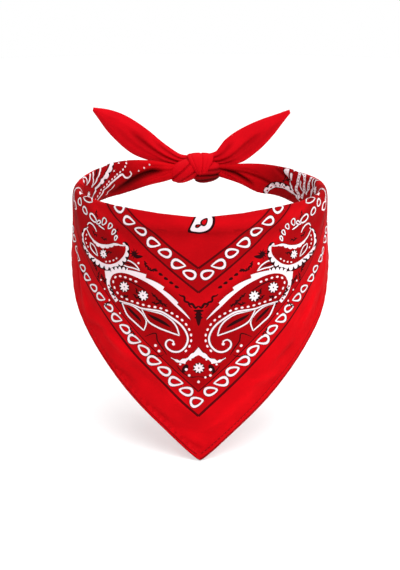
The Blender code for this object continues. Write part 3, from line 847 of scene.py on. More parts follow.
def right_band_motifs(ink):
    """The right band's inner face: a lacy fan at its lower edge, drops with long stems, looped ropes."""
    lace = curve((215, 46), (211, 37), (204, 32.4), (194, 32), (184, 35), (175, 39))
    ink.add("black", edged_band(offset(lace, -0.5), (0.6, 5, 5.2, 4.8, 3.4, 1.2), 1, 0, "comb"))
    ink.add("white", edged_band(lace, (0.6, 4, 4.2, 3.8, 2.4, 0.6), 9, 1.9, "comb"))
    for x, w, heading in path_at(offset(lace, 1.3), np.arange(7, 34, 4.6)):
        ink.add("shade", egg(x, w, heading, 2, 1.3, 0, 9))
    for x, w, heading, length, width in ((193, 19, 116, 7.6, 4.8), (187.2, 21.6, 104, 6, 2.6),
                                         (191.5, 11, 60, 6.6, 4.6), (187, 14, 112, 6.4, 3)):
        ink.add("black", egg(x, w, heading, length + 0.7, width + 0.7))
        ink.add("white", egg(x, w, heading, length, width))
    ink.line([(191.8, 22), (189, 26.6), (183.6, 32)], 1.2, 0.5, 0.3)
    ink.rope([(182, 13), (178.6, 17.6), (178.6, 24), (180, 30), (176, 36)], 2.2, 2.6)
    ink.rope([(176.6, 15), (171.6, 17.6), (169.4, 24), (171, 31), (173, 35)], 2.1, 2.6)
    ink.line([(175.4, 22), (174.6, 26), (172, 30)], 1, 0.5, 0.3)
    ink.rope([(167, 9), (163, 15), (162.6, 22), (166, 30)], 2, 2.6)
    ink.bent_leaf((160, 8), [(158.6, 15), (156, 22)], [(154, 14), (153, 22)], (157, 30),
                  1, 1)
    ink.line([(204, 45), (198, 42.8), (191, 45), (186, 47)], 1.5, 0.5, 0.3)
    ink.line([(168, 44), (161, 39), (153, 38)], 1.5, 0.5, 0.3)
    ink.flower(148, 22, 3.4)
    ink.twigs((197, 27, 205, 9, 0.9))
    ink.dark([(199.6, 10), (197.4, 16), (194.6, 26), (197, 31)], 0.7)


def outer_band_motifs(ink):
    """The band's outer face beside the bib's pointed end, which only the sides and the back show."""
    ink.bent_leaf((178, -3), [(186, -8), (194, -8.6)], [(186, -1.6), (194, -2.4)],
                  (202, -5), 1, 1.4)
    ink.flower(192, 4.4, 3.4)
    ink.dots([(198, 8.4), (203, 4), (207, -1), (209, -7)], 3.4, 1.4, 1.8)
    ink.bent_leaf((199, 6), [(202, 1), (204, -3)], [(198, 0), (200, -5)], (204.6, -8),
                  0.9, 0.9)
    ink.rope([(181, 8.6), (185, 5), (186, 0.4)], 2, 2.4)


BAND_LINE_WEIGHT = 1.4


def band_print(side):
    """What shows of the pattern on a twisted band: s is negative on the left, w runs round the band."""
    ink = Print(BAND_LINE_WEIGHT)
    (left_band_motifs if side < 0 else right_band_motifs)(ink)
    outer_band_motifs(ink)
    return [(name, outline * (side, 1)) for name, outline in ink.shapes]


# ---------------------------------------------------------------- materials
RED = (0.50, 0.0004, 0.0036)
PLAIN_RED = (0.57, 0.0012, 0.0062)
THREAD_RED = (0.56, 0.006, 0.012)
INKS = {
    "red": RED,
    "white": (0.74, 0.62, 0.65),
    "black": (0.020, 0.001, 0.002),
    "shade": (0.42, 0.0003, 0.0028),
    "line": (0.075, 0.0005, 0.0018),
    # painted shade of the hem's edge and of its stitch groove
    "painted_hem_shade": (0.24, 0.0004, 0.0022),
}
# The materials whose colour the number kept with each point, tone, scales: it darkens the print's field, and
# it paints shade and highlight on folds, pleats and the knot.
DYED_AND_PAINTED_LIGHT_INKS = ("cotton_red", "cotton_shade", "cotton_plain_red")

# One unit of a flat layout is UV_SIZE millimetres, and a thread is half a millimetre.
UV_SIZE = 400.0
THREAD = 0.5
THREADS_PER_UNIT = UV_SIZE / THREAD
WAVE_SCALE = 0.31
COTTON_ROUGHNESS = 0.82
COTTON_SPECULAR = 0.05
WEAVE_STRENGTH = 0.35
WEAVE_HEIGHT = 0.00012


def cotton(name, colour, depth=1.0):
    """Woven cotton: a fine plain weave, slubs, and a slight unevenness of its dye."""
    material = bpy.data.materials.new(name)
    material.use_nodes = True
    nodes, links = material.node_tree.nodes, material.node_tree.links

    def put(kind, **values):
        node = nodes.new("ShaderNode" + kind)
        for socket, value in values.items():
            node.inputs[socket].default_value = value
        return node

    shader = nodes["Principled BSDF"]
    shader.inputs["Roughness"].default_value = COTTON_ROUGHNESS
    shader.inputs["Specular IOR Level"].default_value = COTTON_SPECULAR
    place = put("TexCoord")
    colour_tone = put("TexNoise", Scale=55.0, Detail=5.0)
    slubs = put("TexNoise", Scale=900.0, Detail=3.0)
    for node in (colour_tone, slubs):
        links.new(place.outputs["Object"], node.inputs["Vector"])
    tint = put("ValToRGB")
    for stop, position, strength in zip(tint.color_ramp.elements, (0.3, 0.75), (0.88, 1.07)):
        stop.position = position
        stop.color = (*(min(1.0, strength * part) for part in colour), 1)
    links.new(colour_tone.outputs["Fac"], tint.inputs["Fac"])
    paint = tint
    # tone darkens the print's field and paints shade and highlight into the colour.
    if name in DYED_AND_PAINTED_LIGHT_INKS:
        tone = put("Attribute")
        tone.attribute_name = "tone"
        paint = put("VectorMath")
        paint.operation = "SCALE"
        links.new(tint.outputs["Color"], paint.inputs[0])
        links.new(tone.outputs["Fac"], paint.inputs["Scale"])
    links.new(paint.outputs[0], shader.inputs["Base Color"])
    weave = put("Math")
    weave.operation = "ADD"
    for socket, direction in enumerate("XY"):
        threads = put("TexWave", Scale=WAVE_SCALE * THREADS_PER_UNIT, Distortion=0.6)
        threads.bands_direction = direction
        links.new(place.outputs["UV"], threads.inputs["Vector"])
        links.new(threads.outputs["Fac"], weave.inputs[socket])
    height = put("Math")
    height.operation = "MULTIPLY_ADD"
    height.inputs[1].default_value = 0.5
    links.new(weave.outputs["Value"], height.inputs[0])
    links.new(slubs.outputs["Fac"], height.inputs[2])
    bump = put("Bump", Strength=WEAVE_STRENGTH * depth, Distance=WEAVE_HEIGHT)
    links.new(height.outputs["Value"], bump.inputs["Height"])
    links.new(bump.outputs["Normal"], shader.inputs["Normal"])
    return material


PRINT_COTTON = [cotton("cotton_" + name, colour) for name, colour in INKS.items()]
PLAIN_COTTON = cotton("cotton_plain_red", PLAIN_RED)
SEWING_THREAD = cotton("sewing_thread", THREAD_RED, 0.4)


# ---------------------------------------------------------------- meshes
def finish_mesh(name, points, faces, flat, materials, normals=None, inks=None,
                tone=None):
    """An object with smooth shading, its exact normals if given, and a flat layout by point or by corner."""
    data = bpy.data.meshes.new(name)
    data.from_pydata([tuple(point) for point in points], [], [list(map(int, face)) for face in faces])
    data.update()
    low = flat.min(axis=0)
    span = max((flat.max(axis=0) - low).max() / UV_SIZE, 1e-6)
    spread = (flat - low) / UV_SIZE / max(span, 1.0) * 0.98 + 0.01
    if len(flat) == len(points):
        corners = np.empty(len(data.loops), np.int32)
        data.loops.foreach_get("vertex_index", corners)
        spread = spread[corners]
    layer = data.uv_layers.new(name="OFBake")
    layer.data.foreach_set("uv", spread.astype(np.float32).ravel())
    for material in materials:
        data.materials.append(material)
    if inks is not None:
        data.polygons.foreach_set("material_index", np.asarray(inks, np.int32))
    # tone: the print's darker field, and painted shade and highlight.
    colour_tone = data.attributes.new("tone", "FLOAT", "POINT")
    full_tone = np.ones(len(points))
    colour_tone.data.foreach_set("value", (full_tone if tone is None else tone).astype(np.float32))
    data.shade_smooth()
    if normals is not None:
        data.normals_split_custom_set_from_vertices([tuple(normal) for normal in normals])
    cloth = bpy.data.objects.new(name, data)
    bpy.context.scene.collection.objects.link(cloth)
    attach(cloth, BODY)
    return cloth


def inside(outline, points):
    """Which points lie inside a closed outline."""
    found = np.zeros(len(points), bool)
    for (x0, y0), (x1, y1) in zip(outline, np.roll(outline, -1, axis=0)):
        if y0 == y1:
            continue
        crosses = (y0 > points[:, 1]) != (y1 > points[:, 1])
        found ^= crosses & (points[:, 0] < (x1 - x0) * (points[:, 1] - y0) / (y1 - y0) + x0)
    return found


def clear_of(outline, points, distance):
    """Which points keep this distance from the outline's own points."""
    kept = np.ones(len(points), bool)
    for x, y in outline:
        kept &= np.hypot(points[:, 0] - x, points[:, 1] - y) > distance
    return kept


def filled_in(outline, longest):
    """The outline with points added on its long straight stretches, so that they follow the cloth's bend."""
    pieces = []
    for start, end in zip(outline, np.roll(outline, -1, axis=0)):
        count = max(1, int(math.ceil(math.hypot(*(end - start)) / longest)))
        pieces.append(start + (end - start) * np.arange(count)[:, None] / count)
    return np.vstack(pieces)


def flat_grid(outline, spacing):
    """Points in staggered rows inside an outline."""
    low, high = outline.min(axis=0), outline.max(axis=0)
    rows = []
    for row, y in enumerate(np.arange(low[1] + spacing / 2, high[1], spacing * 0.866)):
        x = np.arange(low[0] + spacing * (0.5 + 0.5 * (row % 2)), high[0], spacing)
        rows.append(columns(x, np.full(len(x), y)))
    points = np.vstack(rows)
    points = points[inside(outline, points)]
    return points[clear_of(outline, points, spacing * 0.55)]


def unit(vectors):
    return vectors / np.maximum(np.linalg.norm(vectors, axis=-1), 1e-12)[..., None]


def exact_normals(place, flat, outward):
    step = 0.25
    across = place(flat + (step, 0.0)) - place(flat - (step, 0.0))
    down = place(flat + (0.0, step)) - place(flat - (0.0, step))
    return unit(np.cross(down, across) if outward else np.cross(across, down))


def cut_along_print(outline, shapes, spacing):
    """Flat points, triangles and each triangle's ink, with edges along the outline and along each shape."""
    vertices, rims = [], []
    for loop in [outline] + [filled_in(shape, 2.0) for _, shape in shapes]:
        first = len(vertices)
        rims += [(first + i, first + (i + 1) % len(loop)) for i in range(len(loop))]
        vertices += [Vector(point) for point in loop]
    vertices += [Vector(point) for point in flat_grid(outline, spacing)]
    result = geometry.delaunay_2d_cdt(vertices, rims, [], 0, 1e-4, False)
    flat = np.array([tuple(point) for point in result[0]])
    triangles = np.array([tuple(face) for face in result[2]])
    middles = flat[triangles].mean(axis=1)
    cloth = inside(outline, middles)
    triangles, middles = triangles[cloth], middles[cloth]
    ink = np.zeros(len(triangles), np.int32)
    for name, shape in shapes:
        low, high = shape.min(axis=0), shape.max(axis=0)
        near = np.flatnonzero(((middles > low) & (middles < high)).all(axis=1))
        ink[near[inside(shape, middles[near])]] = list(INKS).index(name)
    used = np.unique(triangles)
    renumber = np.full(len(flat), -1)
    renumber[used] = np.arange(len(used))
    return flat[used], renumber[triangles], ink


def printed_cloth(name, outline, shapes, place, tone, spacing, edges=(), outward=True):
    """Cloth cut along the edges of its print, so that each ink is its own faces.

    place turns flat points and a lift into points in space. Each of edges is a list of flat points along a
    rim, its outward direction in the flat layout, and rows of (reach beyond the rim, lift).
    """
    flat, triangles, ink = cut_along_print(outline, shapes, spacing)
    faces = [tuple(face) for face in (triangles[:, ::-1] if outward else triangles)]
    inks = list(ink)
    body = lambda places: place(places, 0.0)
    points = body(flat)
    normals = exact_normals(body, flat, outward)
    for rim, direction, rows in edges:
        start, count = len(points), len(rim)
        rows = np.array(rows)
        runs = run_along(*rows.T)
        strips = np.array([place(rim + np.multiply(direction, reach), lift) for reach, lift in rows])
        layout = np.vstack([rim + np.multiply(direction, run) for run in runs])
        facing = unit(np.cross(np.gradient(strips, axis=0), np.gradient(strips, axis=1)))
        turned = np.sum(facing[0] * exact_normals(body, rim, outward), axis=1).mean() < 0
        for row in range(len(rows) - 1):
            for i in range(count - 1):
                a = start + row * count + i
                quad = (a, a + 1, a + 1 + count, a + count)
                faces.append((quad[0], *quad[:0:-1]) if turned else quad)
                inks.append(0)
        points = np.vstack([points, strips.reshape(-1, 3)])
        normals = np.vstack([normals, (-facing if turned else facing).reshape(-1, 3)])
        flat = np.vstack([flat, layout])
    return finish_mesh(name, points, faces, flat, PRINT_COTTON, normals, inks, tone(flat))


def woven_grid(name, points, flat, caps=False, tone=None):
    """Plain cloth from a grid of points, rows by columns, which closes on itself if flat has a column more.

    caps closes the first and the last row with a face each.
    """
    rows, count = points.shape[:2]
    wide = flat.shape[1]
    faces, corners = [], []
    for i in range(rows - 1):
        for j in range(wide - 1):
            for found, pitch, beside in ((faces, count, (j + 1) % count), (corners, wide, j + 1)):
                here, ahead = i * pitch, (i + 1) * pitch
                found.append((here + j, here + beside, ahead + beside, ahead + j))
    for row, order in ((0, -1), (rows - 1, 1)) if caps else ():
        for found, pitch in ((faces, count), (corners, wide)):
            found.append(tuple(row * pitch + j for j in range(count)[::order]))
    layout = flat.reshape(-1, 2)[np.concatenate(corners)]
    return finish_mesh(name, points.reshape(-1, 3), faces, layout, [PLAIN_COTTON], tone=tone)


# ---------------------------------------------------------------- the bib
HEM_INSET = 3.4
HEM_WIDTH = 4.6
STITCH_PITCH = 3.1
STITCH_LENGTH = 2.2
# Heights of the hem's relief: its thickness, its line of stitches, its puckers and waves, its round edge.
HEM_RIDGE = 0.45
HEM_GROOVE = 0.42
HEM_PUCKER = 0.16
HEM_SLACK = 0.35
HEM_ROUNDING = 0.45


def hem_t(s):
    """The bib's free edge: its corner at the tip is rounded off a little."""
    return TIP_DROP - np.where(s < 0, HEM_RISE_LEFT, HEM_RISE_RIGHT) * np.hypot(s, TIP_ROUNDING)


def hem_relief(s, t):
    """The turned hem: it is thicker, pressed in along its stitches and slightly puckered."""
    inward = (hem_t(s) - t) / math.sqrt(2)
    along = np.abs(s) * math.sqrt(2)
    ridge = HEM_RIDGE * (1.0 - smooth(HEM_WIDTH - 0.6, HEM_WIDTH + 0.7, inward))
    groove = HEM_GROOVE * bell(inward - HEM_INSET, 0.6)
    pucker = HEM_PUCKER * np.sin(along * math.tau / (3 * STITCH_PITCH)) * bell(inward - 3.0, 3.0)
    slack = HEM_SLACK * np.sin(along / 9.5 + 1.3 * np.sin(along / 31.0)) * bell(inward, 5.0)
    edge = HEM_ROUNDING * bell(np.maximum(inward, 0.0), 0.8)
    return ridge - groove + pucker - edge + slack * smooth(0, 15, along)


def top_w(s):
    """Where the face's cloth ends round the roll: far round it in front, over the top at the sides."""
    wide = np.abs(s)
    degrees = np.interp(wide, (0, 120, 132, 150, 170, 187), (262, 262, 200, 128, 96, 74))
    return w_at_angle(s, degrees)


# How far the two layers lie out from the solid's face, and how deep the face's cloth is tucked in.
FACE_LIFT = 0.15
LINING_LIFT = -1.85
EDGE_TUCK = 0.8
LEG_TUCK = 1.3


def face_place(flat, lift):
    s, t = flat.T
    w = -t - roll_middle(s)
    tuck = EDGE_TUCK * smooth(-5.0, 0.5, w - top_w(s))
    tuck += LEG_TUCK * smooth(LEG_END - 1.0, LEG_END + 6.0, np.abs(s))
    return bib_place(s, t, FACE_LIFT + hem_relief(s, t) - tuck + lift)


def lining_place(flat, lift):
    """The back layer, with its face to the neck. Its lift points inward."""
    s, t = flat.T
    return bib_place(s, t, LINING_LIFT - hem_relief(s, t + 1.0) - lift)


def steps_between(first, last, pitch):
    return np.linspace(first, last, int(math.ceil(abs(last - first) / pitch)) + 1)


FACE_END = 187.0
LINING_END = 178.0
# The layer behind ends under the roll by this much, and it is never narrower than this.
UNDER_ROLL = 3.4
LINING_LEAST = 1.4
# Distances between the points of the cut pieces.
FACE_SPACING = 1.8
LINING_SPACING = 2.2
BAND_SPACING = 1.3
OUTLINE_STEP = 1.6
# Rims run round the cloth's edge: rows of (reach beyond the edge, lift).
HEM_RIM = ((0.0, 0.0), (0.30, -0.12), (0.48, -0.42), (0.35, -0.75), (0.0, -0.88), (-4.8, -0.88), (-5.0, -0.5))
TUCKED_RIM = ((0.0, 0.0), (1.0, -0.35), (2.0, -1.1), (2.6, -2.4))
STITCH_HALF_WIDTH = 0.24
STITCH_ARCH = (-0.18, 0.05, 0.10, 0.05, -0.18)
STITCH_SECTION = (
    # share of the half width, lift
    (-1, -0.12), (-0.7, 0.10), (0, 0.20), (0.7, 0.10), (1, -0.12),
)


def stitch_run(name, place, path):
    """Short thread stitches along a path of flat points."""
    points, faces, flat = [], [], []
    for x, y, heading in path_at(path, np.arange(2.0, path_length(path), STITCH_PITCH)):
        start = len(points)
        lean = math.radians(heading)
        along = np.linspace(-0.5, 0.5, len(STITCH_ARCH)) * STITCH_LENGTH
        spots = columns(x + along * math.cos(lean), y + along * math.sin(lean))
        sides = np.array([(-math.sin(lean), math.cos(lean))]) * STITCH_HALF_WIDTH
        for side, lift in STITCH_SECTION:
            points += list(place(spots + side * sides, np.array(STITCH_ARCH) + lift))
            flat += list(spots + side * sides)
        for corner in (start + 5 * i + j for i in range(4) for j in range(4)):
            faces.append((corner, corner + 1, corner + 6, corner + 5))
    thread = finish_mesh(name, np.array(points), faces, np.array(flat), [SEWING_THREAD])
    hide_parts("bib")
    return thread


# How much shorter the layer behind is.
LINING_RISE = 0.8


def make_stitches():
    threads = []
    for name, place, end, rise in (("hem_stitches", face_place, 176.0, 0.0),
                                   ("lining_stitches", lining_place, 172.0, LINING_RISE)):
        s = steps_between(-end, end, 1.0)
        threads.append(stitch_run(name, place, columns(s, hem_t(s) - rise - HEM_INSET * math.sqrt(2))))
    return threads


def make_bib():
    shapes = bib_print()
    s = steps_between(-FACE_END, FACE_END, OUTLINE_STEP)
    bottom = columns(s, hem_t(s))
    top = columns(s, -top_w(s) - roll_middle(s))
    face_outline = np.vstack([bottom, top[::-1]])
    face = printed_cloth("bib_face", face_outline, shapes, face_place, bib_tone, FACE_SPACING,
                         [(bottom, (0, 1), HEM_RIM), (top, (0, -1), TUCKED_RIM)])
    s = steps_between(-LINING_END, LINING_END, OUTLINE_STEP)
    bottom = columns(s, hem_t(s) - LINING_RISE)
    under_roll = -(upper_edge(s) - 2 * half_height(s) + UNDER_ROLL)
    leg_top = -w_at_angle(s, 45.0) - roll_middle(s)
    share = smooth(JOINT - 4.0, JOINT + 10.0, np.abs(s))
    top = columns(s, np.minimum(under_roll * (1 - share) + leg_top * share, hem_t(s) - LINING_LEAST))
    lining_outline = np.vstack([bottom, top[::-1]])
    lining = printed_cloth("bib_lining", lining_outline, shapes, lining_place, bib_tone, LINING_SPACING,
                           [(bottom, (0, 1), HEM_RIM)], False)
    for cloth, outline, thread in zip((face, lining), (face_outline, lining_outline), make_stitches()):
        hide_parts("bib")


# ---------------------------------------------------------------- the rolled bands
BAND_START = 128.0
BAND_ENDS = (-251.0, 256.0)
# The bands' cloth lies this much under the solids' skin.
BAND_SINK = 0.25


def make_band(name, side, end):
    place = lambda flat, lift: band_place(*flat.T, lift - BAND_SINK)
    s = steps_between(side * BAND_START, end, OUTLINE_STEP)[::side]
    quarter = np.interp(s, S_GRID, ROLL_ROUND) / 4
    outline = np.vstack([columns(s, -quarter), columns(s, 3 * quarter)[::-1]])
    band = printed_cloth(name + "_cloth", outline, band_print(side), place, band_tone, BAND_SPACING,
                         outward=False)
    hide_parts(name)


# ---------------------------------------------------------------- the tails
TAIL_LEFT = (
    # upper x, upper z, lower x, lower z, middle y, thickness
    (-11.6, 0.2, -11.8, -5.0, 75.5, 4.6),
    (-14.6, 1.2, -17.0, -5.8, 75.5, 4.8),
    (-21.0, 4.8, -26.5, -5.6, 75.5, 4.4),
    (-29.5, 10.8, -38.5, -3.4, 77.0, 3.6),
    (-38.8, 18.5, -49.5, 0.4, 79.0, 3.0),
    (-48.5, 25.2, -57.5, 5.2, 81.0, 2.7),
    (-57.5, 30.2, -64.5, 11.4, 82.5, 2.5),
    (-66.0, 33.3, -71.5, 19.2, 83.5, 2.4),
    (-74.5, 35.2, -77.5, 28.0, 84.0, 2.3),
    (-81.2, 36.0, -81.6, 34.1, 84.0, 1.6),
)
TAIL_RIGHT = (
    # upper x, upper z, lower x, lower z, middle y, thickness
    (10.3, 1.4, 11.0, -4.4, 75.5, 4.6),
    (11.9, 3.4, 15.0, -5.4, 75.5, 4.8),
    (15.0, 6.8, 23.0, -6.0, 75.5, 4.4),
    (19.5, 12.2, 33.0, -4.2, 77.0, 3.6),
    (26.5, 17.4, 42.0, 1.8, 79.0, 3.0),
    (35.0, 21.9, 50.0, 8.9, 81.0, 2.7),
    (45.0, 26.2, 57.5, 17.2, 82.5, 2.5),
    (55.5, 29.9, 63.0, 24.8, 83.5, 2.4),
    (63.2, 32.6, 66.4, 29.6, 84.0, 2.3),
    (68.2, 34.3, 68.8, 32.4, 84.0, 1.6),
)
# The tails run on into the knot by this much at their roots.
ROOT_REACH = 5.0
# The gathered roots hang lower by this much, at the first three stations.
ROOT_DROPS = (1.6, 1.3, 0.6)
TAIL_DISH = 2.6
LAYER = 0.75
TAIL_SLACK = 0.35
TAIL_HEM = 0.28
TAIL_GROOVE = 0.18
# How much painted shade darkens the tails where their pleats press in.
TAIL_SHADE = 0.28
TAIL_ACROSS = 33
TAIL_SECTIONS = 97

# Pleats along the tails. Stations run from the root, 0, to the tip, 9, and shares from the upper edge, 0,
# to the lower one, 1. A positive depth presses the front in and the back out.
TAIL_LEFT_PLEATS = (
    # first station, first share, last station, last share, width in share, depth
    (0.0, 0.62, 5.2, 0.40, 0.085, 2.1),
    (0.0, 0.30, 3.6, 0.16, 0.07, 1.2),
    (0.0, 0.86, 2.8, 0.78, 0.06, 0.9),
    (2.6, 0.70, 6.5, 0.62, 0.11, 0.55),
    (4.5, 0.20, 8.0, 0.28, 0.10, -0.45),
)
TAIL_RIGHT_PLEATS = (
    # first station, first share, last station, last share, width in share, depth
    (0.0, 0.70, 5.4, 0.52, 0.085, 2.2),
    (0.0, 0.34, 3.4, 0.22, 0.07, 1.3),
    (0.0, 0.90, 2.4, 0.84, 0.05, 0.8),
    (2.4, 0.36, 6.2, 0.34, 0.10, -0.5),
    (1.8, 0.82, 7.0, 0.76, 0.12, 0.9),
)


def pleats(table, station, share):
    total = np.zeros_like(share)
    for first, first_share, last, last_share, width, depth in table:
        run = (station - first) / (last - first)
        ends = (1.0 - smooth(0.75, 1.1, run)) * smooth(-0.12, 0.05, run)
        middle = first_share + (last_share - first_share) * run
        total += depth * ends * bell(share - middle, width * (0.7 + 0.6 * run))
    return total


TAIL_RIM = (
    # reach beyond the edge, share of the layer
    (0.28, 0.15), (0.40, 0.5), (0.28, 0.85),
)
# The folded edge's round back, as shares of a half turn.
FOLD_TURNS = (0.25, 0.5, 0.75)


def tail_section(row, station, pleat_table, phase):
    """A tail's closed section and its points' tone, which is painted shade where the pleats press in.

    It runs down the front, up inside it, down inside the back, up outside that, and round the fold.
    """
    upper_x, upper_z, lower_x, lower_z, middle, thick = row
    across = np.linspace(0.0, 1.0, TAIL_ACROSS)
    x, z = upper_x + (lower_x - upper_x) * across, upper_z + (lower_z - upper_z) * across
    width = math.hypot(lower_x - upper_x, lower_z - upper_z)
    down_x, down_z = (lower_x - upper_x) / width, (lower_z - upper_z) / width
    edge = 4 * across * (1 - across)
    dish = TAIL_DISH * (0.55 - edge) * smooth(0.5, 3.0, station) * smooth(1.0, 14.0, width)
    slack = TAIL_SLACK * np.sin(station * 2.1 + phase + 2.0 * across) * across * smooth(1, 4, station)
    pressed = pleats(pleat_table, station, across)
    inward = width * (1 - across)
    hemmed = smooth(1.5, 3.5, station)
    hem = TAIL_HEM * (1.0 - smooth(HEM_WIDTH - 0.8, HEM_WIDTH + 0.6, inward)) * hemmed
    hem -= TAIL_GROOVE * bell(inward - HEM_INSET, 0.5) * hemmed
    half = (0.35 + 0.65 * edge**0.5) * thick / 2
    front = middle + dish + slack + pressed - half - hem
    back = middle + dish + 0.8 * slack + 0.75 * pressed + half + hem
    skin = np.minimum(LAYER, half * 0.85)
    inner_front = columns(x, front + skin, z)[::-1][:-2]
    inner_back = columns(x, back - skin, z)[2:]
    rims = [(x[-1] + down_x * out, face[-1] + sign * skin[-1] * deep, z[-1] + down_z * out)
            for face, sign in ((front, 1), (back, -1)) for out, deep in TAIL_RIM]
    fold = []
    for turn in FOLD_TURNS:
        bulge = math.sin(turn * math.pi) * (back[0] - front[0]) * 0.5
        fold.append((x[0] - down_x * bulge, back[0] + (front[0] - back[0]) * turn, z[0] - down_z * bulge))
    section = np.vstack([columns(x, front, z), rims[:3], inner_front, inner_back, rims[:2:-1],
                         columns(x, back, z)[::-1], fold])
    # Painted shade in the pleats' creases, carried all round the section.
    dark = 1.0 - TAIL_SHADE * np.clip(pressed / 1.2, 0.0, 1.0)
    rim, turned = np.full(3, dark[-1]), dark[::-1]
    return section, np.concatenate([dark, rim, turned[:-2], dark[2:], rim, turned, np.full(3, dark[0])])


def tail_points(table, pleat_table, seed):
    rows = np.array(table, float)
    rows[0, (0, 2)] -= math.copysign(ROOT_REACH, rows[0, 0])
    rows[:3, 3] -= ROOT_DROPS
    phase = np.random.default_rng(seed).uniform(0, math.tau)
    points, layout, tones = [], [], []
    run, area, widest, last_middle = 0.0, 0.0, 0.0, None
    for station in np.linspace(0, len(rows) - 1, TAIL_SECTIONS):
        row = between_rows(rows, station)
        width = math.hypot(*(row[2:4] - row[:2]))
        middle = (row[2:4] + row[:2]) / 2
        if last_middle is not None:
            step = math.hypot(*(middle - last_middle))
            run += step
            area += 2 * width * step
        last_middle = middle
        widest = max(widest, width)
        section, tone = tail_section(row, station, pleat_table, phase)
        gaps = np.hypot(*np.diff(section[:, [0, 2]], axis=0).T) + np.abs(np.diff(section[:, 1])) * 0.5
        round_it = np.concatenate([[0.0], np.cumsum(gaps), [np.sum(gaps) + 0.6]])
        points.append(section)
        tones.append(tone)
        layout.append(columns(np.full(len(round_it), run), round_it))
    cut = {"flat": (run * MM, 2 * widest * MM), "area": area * MM * MM}
    return np.array(points) * MM, np.array(layout), np.ravel(tones), cut


def make_tail(name, table, pleat_table, seed):
    points, layout, tone, cut = tail_points(table, pleat_table, seed)
    tail = woven_grid(name + "_cloth", points, layout, True, tone)
    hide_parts(name)


# ---------------------------------------------------------------- the knot
KNOT_CENTRE = (0.5, 73.0, -8.0)
STRAP_THICKNESS = 4.2
STRAP = (
    # turn in degrees from the front, radius, middle x, half width
    (-75, 4.6, 0.8, 3.2), (-45, 5.4, 0.9, 3.4), (-20, 7.4, 0.6, 4.0), (10, 8.8, 0.1, 5.9),
    (40, 8.8, 0.1, 8.8), (70, 9.4, -0.2, 10.0), (90, 9.7, -0.2, 10.4), (115, 9.3, -0.3, 9.8),
    (150, 8.2, 0.0, 8.0), (190, 8.0, 0.6, 7.0), (225, 7.2, 1.2, 5.6), (255, 6.2, 1.5, 4.2),
)
STRAP_PLEATS = (
    # share across, width, depth, wander, turn of the wander
    (0.08, 0.07, 0.95, 0.06, 0.4),
    (-0.62, 0.06, 0.5, 0.10, 1.9),
    (0.62, 0.06, 0.35, 0.10, 3.0),
)
LOBES = (
    # name, centre x, y, z, half x, half y, half z, tilt in degrees, how much painted shade darkens it below
    ("knot_left_lobe", -11.4, 71.5, -9.9, 12.8, 8.6, 8.3, 22, 0.10),
    ("knot_right_lobe", 5.0, 71.6, -11.0, 11.6, 8.4, 7.8, 12, 0.65),
)
LOBE_PLEATS = (
    # height on the lobe from -1 to 1, slope, width, depth
    ((0.30, 0.55, 0.09, 1.5), (-0.46, 0.30, 0.08, 1.2)),
    ((0.36, -0.25, 0.10, 1.2), (-0.16, -0.20, 0.09, 1.6), (-0.58, -0.10, 0.08, 0.9)),
)
LOBE_POWER = 2.3
# The strap's flat layout: its radius, and the step from point to point across it.
STRAP_RADIUS = 8.6
STRAP_FLAT_STEP = 0.72
STRAP_FRONT_POINTS = 41
STRAP_BACK_POINTS = 19
STRAP_SECTIONS = 121
STRAP_LENS = 2.6
LOBE_ROWS = 61
LOBE_COLUMNS = 96
# How much painted shade darkens the lobes in their pleats' creases.
LOBE_SHADE = 0.30


def make_strap():
    """The strap that goes once round the knot, with gathered pleats along it."""
    table = np.array(STRAP, float)
    first = table[0, 0]
    wrapped = np.vstack([table[-3:] - (360, 0, 0, 0), table, table[:3] + (360, 0, 0, 0)])
    share = np.concatenate([np.linspace(-1.0, 1.0, STRAP_FRONT_POINTS),
                            np.linspace(1.0, -1.0, STRAP_BACK_POINTS)[1:-1]])
    outside = np.where(np.arange(len(share)) < STRAP_FRONT_POINTS, 1.0, -1.0)
    lens = np.maximum(1.0 - np.abs(share) ** STRAP_LENS, 0.0) ** 0.5
    steps = np.arange(len(share) + 1)
    points, layout = [], []
    for turn in np.linspace(first, first + 360, STRAP_SECTIONS):
        lookup = turn if turn < first + 359.9 else first
        radius, middle, half = (
            sum(np.interp(lookup + shift, wrapped[:, 0], values) for shift in (-8, 0, 8)) / 3
            for values in wrapped.T[1:])
        angle = math.radians(turn)
        out = np.array([0.0, -math.cos(angle), math.sin(angle)])
        dents = np.zeros_like(share)
        for at, width, depth, wander, phase in STRAP_PLEATS:
            line = at + wander * math.sin(2 * angle + phase)
            dents += depth * (0.6 + 0.4 * math.cos(angle)) * bell(share - line, width)
        rise = outside * lens * STRAP_THICKNESS / 2 - np.where(outside > 0, dents, 0.0)
        across = middle + share * half
        points.append(np.array(KNOT_CENTRE) + np.outer(across, (1, 0, 0)) + np.outer(radius + rise, out))
        layout.append(columns(np.full(len(steps), angle * STRAP_RADIUS), steps * STRAP_FLAT_STEP))
    strap = woven_grid("knot_wrap", np.array(points) * MM, np.array(layout), caps=True)
    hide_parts("knot_strap")


